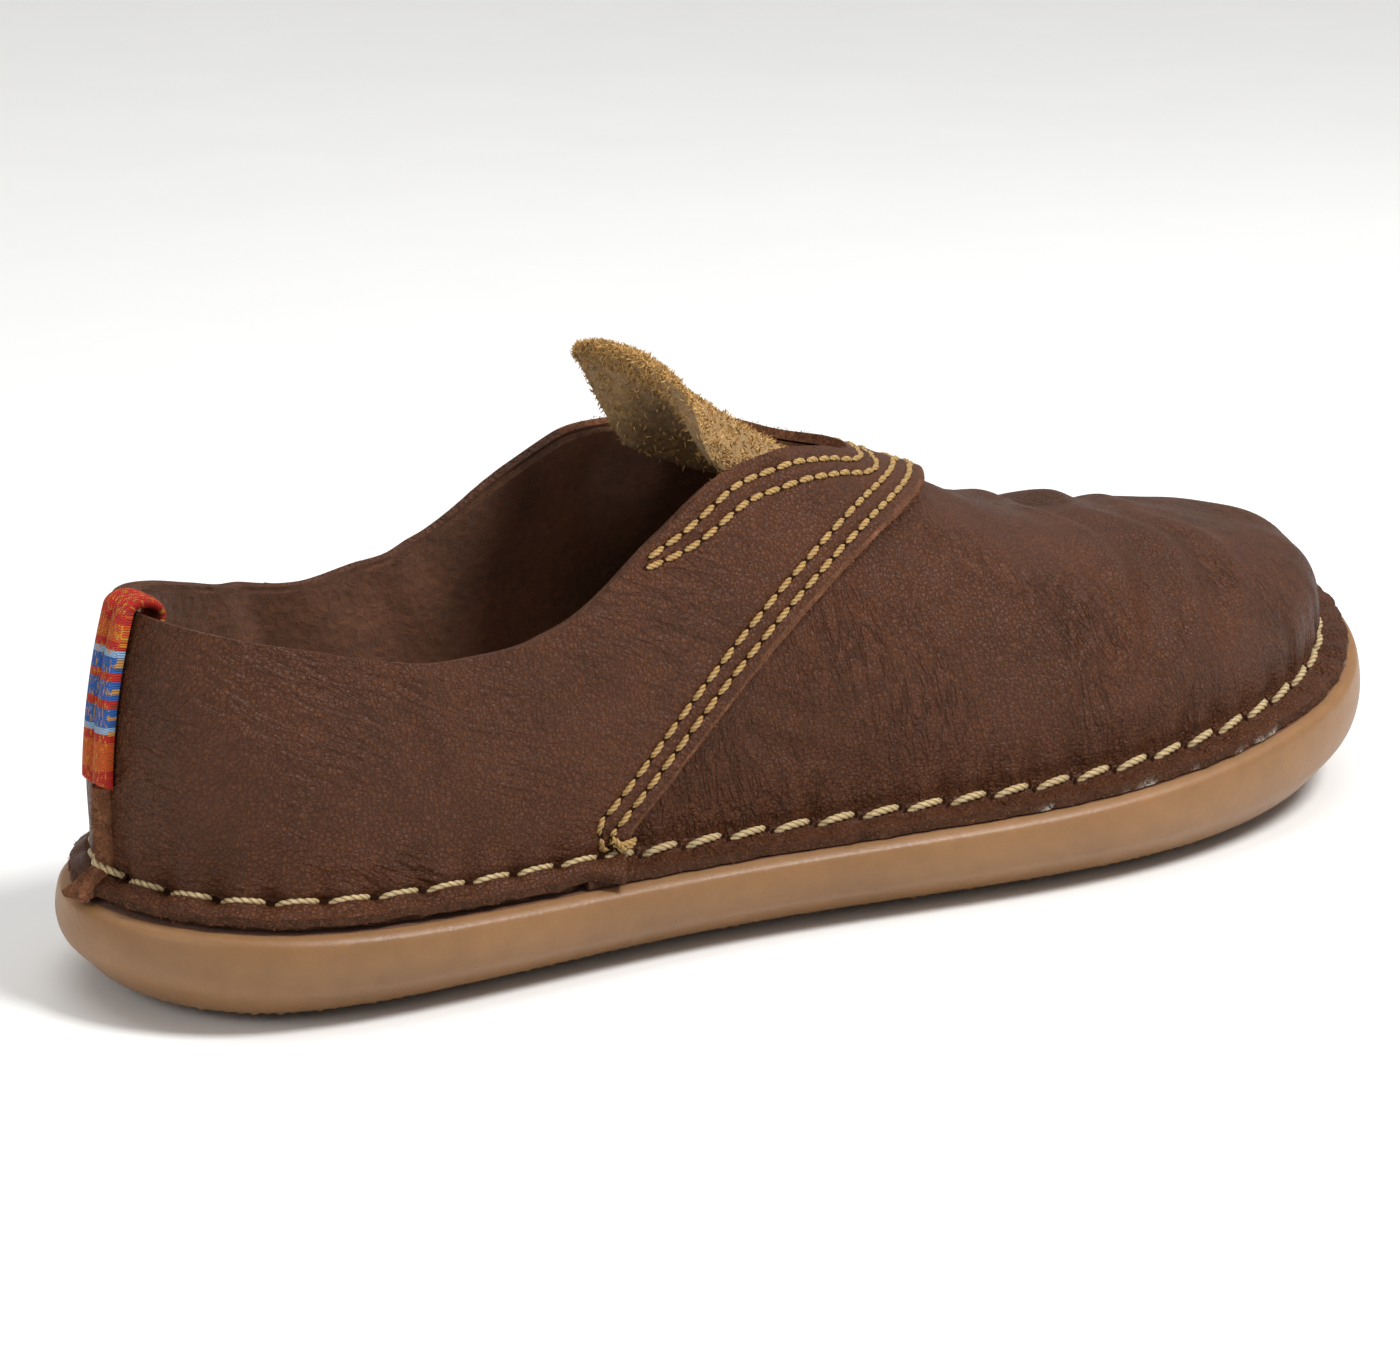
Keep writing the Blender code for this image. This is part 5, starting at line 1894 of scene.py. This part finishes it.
@functools.lru_cache(maxsize=None)
def ribbon_material():
    """Striped woven ribbon: bands along its length, yarns across it."""
    colours = bpy.context.scene.shoe_colours
    material, graph, shader = new_material("Woven ribbon", 0.25, 0.6)
    parts = graph.add("ShaderNodeSeparateXYZ", {"Vector": graph.lengths()}).outputs
    along = graph.math("DIVIDE", parts["X"], TAB_DROP)
    ramp = graph.add("ShaderNodeValToRGB", {"Fac": along})
    ramp.color_ramp.interpolation = "CONSTANT"
    red = rgba(colours.ribbon_warm)
    blue = rgba(colours.ribbon_cool)
    orange = rgba(RIBBON_ORANGE)
    pale = rgba(RIBBON_PALE)
    bands = [(0.0, red), (0.11, orange), (0.28, red), (0.33, pale), (0.37, blue), (0.48, red), (0.53, blue)]
    bands += [(0.64, red), (0.69, blue), (0.78, pale), (0.82, red), (0.87, orange), (0.97, red)]
    for i, (place, colour) in enumerate(bands):
        stop = ramp.color_ramp.elements[i] if i < 2 else ramp.color_ramp.elements.new(place)
        stop.position = place
        stop.color = colour
    yarn = graph.math("SINE", graph.scaled(parts["Y"], 2.0 * math.pi / YARN_PITCH))
    weft = graph.math("SINE", graph.scaled(parts["X"], 2.0 * math.pi / WEFT_PITCH))
    weave = graph.scaled(yarn, weft)
    stretch = {"Vector": graph.lengths(), "Scale": (0.55, 3.2, 1.0)}
    stretched = graph.add("ShaderNodeMapping", stretch).outputs["Vector"]
    flecks = graph.window(graph.noise(stretched, 1.3, 2.0, 0.5), 0.56, 0.60)
    tone = graph.mix(graph.scaled(flecks, 0.85), ramp.outputs["Color"], rgba(colours.ribbon_light))
    dark_spots = graph.window(graph.noise(stretched, 1.9, 2.0, 0.5), 0.62, 0.66)
    tone = graph.mix(graph.scaled(dark_spots, 0.7), tone, rgba(RIBBON_GREEN))
    low = graph.mix(1.0, tone, rgba(RIBBON_SHADOW), "MULTIPLY")
    graph.put(shader["Base Color"], graph.mix(graph.window(weave, -1.0, 1.0), low, tone))
    graph.put(shader["Normal"], graph.bump(weave, 0.00018, 0.9))
    return material


class SHOE_OT_heel_tab(bpy.types.Operator):
    """Fold the woven ribbon over the collar at the heel"""

    bl_idname = "shoe.heel_tab"
    bl_label = "Fold Heel Tab"

    def execute(self, context):
        outside = QUARTER_WALL + 2.0 * GAP
        inside = -UPPER_WALL - TAB_INSIDE_GAP
        down = np.linspace(TAB_DROP, 0.0, 70)
        shallow = np.linspace(0.0, TAB_INSIDE_DROP, 20)
        top = heel_line(np.array([0.0]), 0.0)[0]
        n = wall_normal(np.array([0.0]), opening_share(np.array([0.0])))[0]
        up = np.array([n[2], 0.0, -n[0]])
        up = up if up[2] > 0.0 else -up
        turns = np.linspace(0.0, math.pi, 22)[1:-1, None]

        def path(outer_depth, inner_depth, height):
            """Line up the outside, over the collar's edge and down the inside."""
            middle = 0.5 * (outer_depth + inner_depth) + 0.5 * (outer_depth - inner_depth) * np.cos(turns)
            arch = top + n * middle + up * height * np.sin(turns)
            return np.vstack([heel_line(down, outer_depth), arch, heel_line(shallow, inner_depth)])

        shell = path(outside + TAB_THICKNESS, inside - TAB_INSIDE_THICKNESS, TAB_ARCH)
        core = path(outside, inside, TAB_ARCH_INSIDE)
        run = run_length(shell)
        q = np.linspace(-1.0, 1.0, 33)
        lobes = np.abs(np.sin(math.pi * q)) ** 0.55
        ends = np.clip(np.minimum(run, run[-1] - run) / 1.4, 0.0, 1.0) ** 0.5
        height = (0.5 + 0.5 * lobes)[None, :] * (0.25 + 0.75 * ends)[:, None]
        skin = core[:, None, :] + height[..., None] * (shell - core)[:, None, :]
        skin[..., 1] += 0.5 * TAB_WIDTH * q * (0.88 + 0.12 * ends)[:, None]
        floor = core[:, None, :] + np.stack([0.0 * q, 0.47 * TAB_WIDTH * q, 0.0 * q], axis=-1)
        points = np.concatenate([skin, floor[:, ::-1]], axis=1)
        across = np.concatenate([q, q[::-1]])
        size = (len(run), len(across))
        uv = np.stack([np.broadcast_to(run[:, None], size),
                       np.broadcast_to(0.5 * TAB_WIDTH * across, size)], axis=-1)
        make_piece("heel_ribbon", points.reshape(-1, 3), tube_faces(*size), [ribbon_material()],
                   node="heel_tab", uv=uv.reshape(-1, 2), sharp=80.0)
        return {"FINISHED"}


# stage: angles in degrees, lens in millimetres, lengths in metres
FLOOR_REACH = 6.0
ROOM_COLOUR = (1.0, 0.985, 0.96, 1.0)
ROOM_STRENGTH = 0.31
CAMERA_AZIMUTH = -35.0
CAMERA_ELEVATION = 17.0
CAMERA_LENS = 110.0
CAMERA_DISTANCE = 0.80
CAMERA_TARGET = (-0.0125, 0.0045, 0.036)

# softboxes: place and size in metres, power in watts
Softbox = namedtuple("Softbox", "name x y z size power")
SOFTBOXES = [
    Softbox("key", 0.30, -0.55, 0.95, 0.36, 12.0),
    Softbox("side", -0.95, -0.15, 0.55, 0.5, 2.2),
    Softbox("ceiling", 0.2, 0.8, 2.60, 3.0, 38.0),
]


class SHOE_OT_stage(bpy.types.Operator):
    """Set the floor, the soft lights and the camera"""

    bl_idname = "shoe.stage"
    bl_label = "Set Stage"

    def execute(self, context):
        scene = context.scene
        scene.view_settings.view_transform = "Standard"
        self.floor(scene)
        self.lights(scene)
        self.camera(scene)
        return {"FINISHED"}

    def floor(self, scene):
        """Pale floor, far wider than the picture."""
        r = FLOOR_REACH
        mesh = bpy.data.meshes.new("floor")
        mesh.from_pydata([(-r, -r, 0.0), (r, -r, 0.0), (r, r, 0.0), (-r, r, 0.0)], [], [(0, 1, 2, 3)])
        material, graph, shader = new_material("Pale floor", 0.2, 0.75)
        clouds = {"Light": rgba(FLOOR_LIGHT), "Dark": rgba(FLOOR_DARK), "Scale": 2.0}
        graph.put(shader["Base Color"], graph.effect(mottle_effect(), clouds)["Colour"])
        mesh.materials.append(material)
        floor = bpy.data.objects.new("floor", mesh)
        scene.collection.objects.link(floor)

    def lights(self, scene):
        """Warm white room and three softboxes turned to the shoe."""
        world = bpy.data.worlds.new("Studio")
        world.use_nodes = True
        background = world.node_tree.nodes["Background"]
        background.inputs["Color"].default_value = ROOM_COLOUR
        background.inputs["Strength"].default_value = ROOM_STRENGTH
        scene.world = world
        for box in SOFTBOXES:
            data = bpy.data.lights.new(box.name, "AREA")
            data.shape = "DISK"
            data.size = box.size
            data.energy = box.power
            light = bpy.data.objects.new(box.name, data)
            light.location = (box.x, box.y, box.z)
            light.rotation_euler = (-Vector(light.location)).to_track_quat("-Z", "Y").to_euler()
            scene.collection.objects.link(light)

    def camera(self, scene):
        """Camera behind the outer side of the heel, a little above it."""
        a = math.radians(CAMERA_AZIMUTH)
        e = math.radians(CAMERA_ELEVATION)
        back = Vector((math.sin(a) * math.cos(e), -math.cos(a) * math.cos(e), math.sin(e)))
        data = bpy.data.cameras.new("Camera")
        data.lens = CAMERA_LENS
        data.clip_start = 0.01
        camera = bpy.data.objects.new("Camera", data)
        camera.location = Vector(CAMERA_TARGET) + CAMERA_DISTANCE * back
        camera.rotation_euler = back.to_track_quat("Z", "Y").to_euler()
        scene.collection.objects.link(camera)
        scene.camera = camera


class SHOE_PT_panel(bpy.types.Panel):
    """Steps and values of the shoe's looks"""

    bl_label = "Barefoot Shoe"
    bl_idname = "SHOE_PT_panel"
    bl_space_type = "VIEW_3D"
    bl_region_type = "UI"
    bl_category = "Shoe"

    def draw(self, context):
        """List the steps, then the values."""
        for operator in OPERATORS:
            self.layout.operator(operator.bl_idname)
        for group in (context.scene.shoe_sizes, context.scene.shoe_colours):
            for name in group.bl_rna.properties.keys():
                if name not in ("rna_type", "name"):
                    self.layout.prop(group, name)


OPERATORS = (SHOE_OT_sole, SHOE_OT_insole, SHOE_OT_upper, SHOE_OT_quarters, SHOE_OT_sewing, SHOE_OT_fray,
             SHOE_OT_tongue, SHOE_OT_heel_tab, SHOE_OT_stage)
CLASSES = (ShoeSizes, ShoeColours) + OPERATORS + (SHOE_PT_panel,)


def register():
    """Register the classes and the two groups of values."""
    for item in CLASSES:
        bpy.utils.register_class(item)
    bpy.types.Scene.shoe_sizes = bpy.props.PointerProperty(type=ShoeSizes)
    bpy.types.Scene.shoe_colours = bpy.props.PointerProperty(type=ShoeColours)


def unregister():
    """Remove the two groups of values and the classes."""
    del bpy.types.Scene.shoe_colours
    del bpy.types.Scene.shoe_sizes
    for item in reversed(CLASSES):
        bpy.utils.unregister_class(item)


def main():
    """Build every piece and the stage."""
    register()
    bpy.ops.shoe.stage()
    bpy.ops.shoe.sole()
    bpy.ops.shoe.insole()
    bpy.ops.shoe.upper()
    bpy.ops.shoe.quarters()
    bpy.ops.shoe.sewing()
    bpy.ops.shoe.fray()
    bpy.ops.shoe.tongue()
    bpy.ops.shoe.heel_tab()


if __name__ == "__main__":
    main()
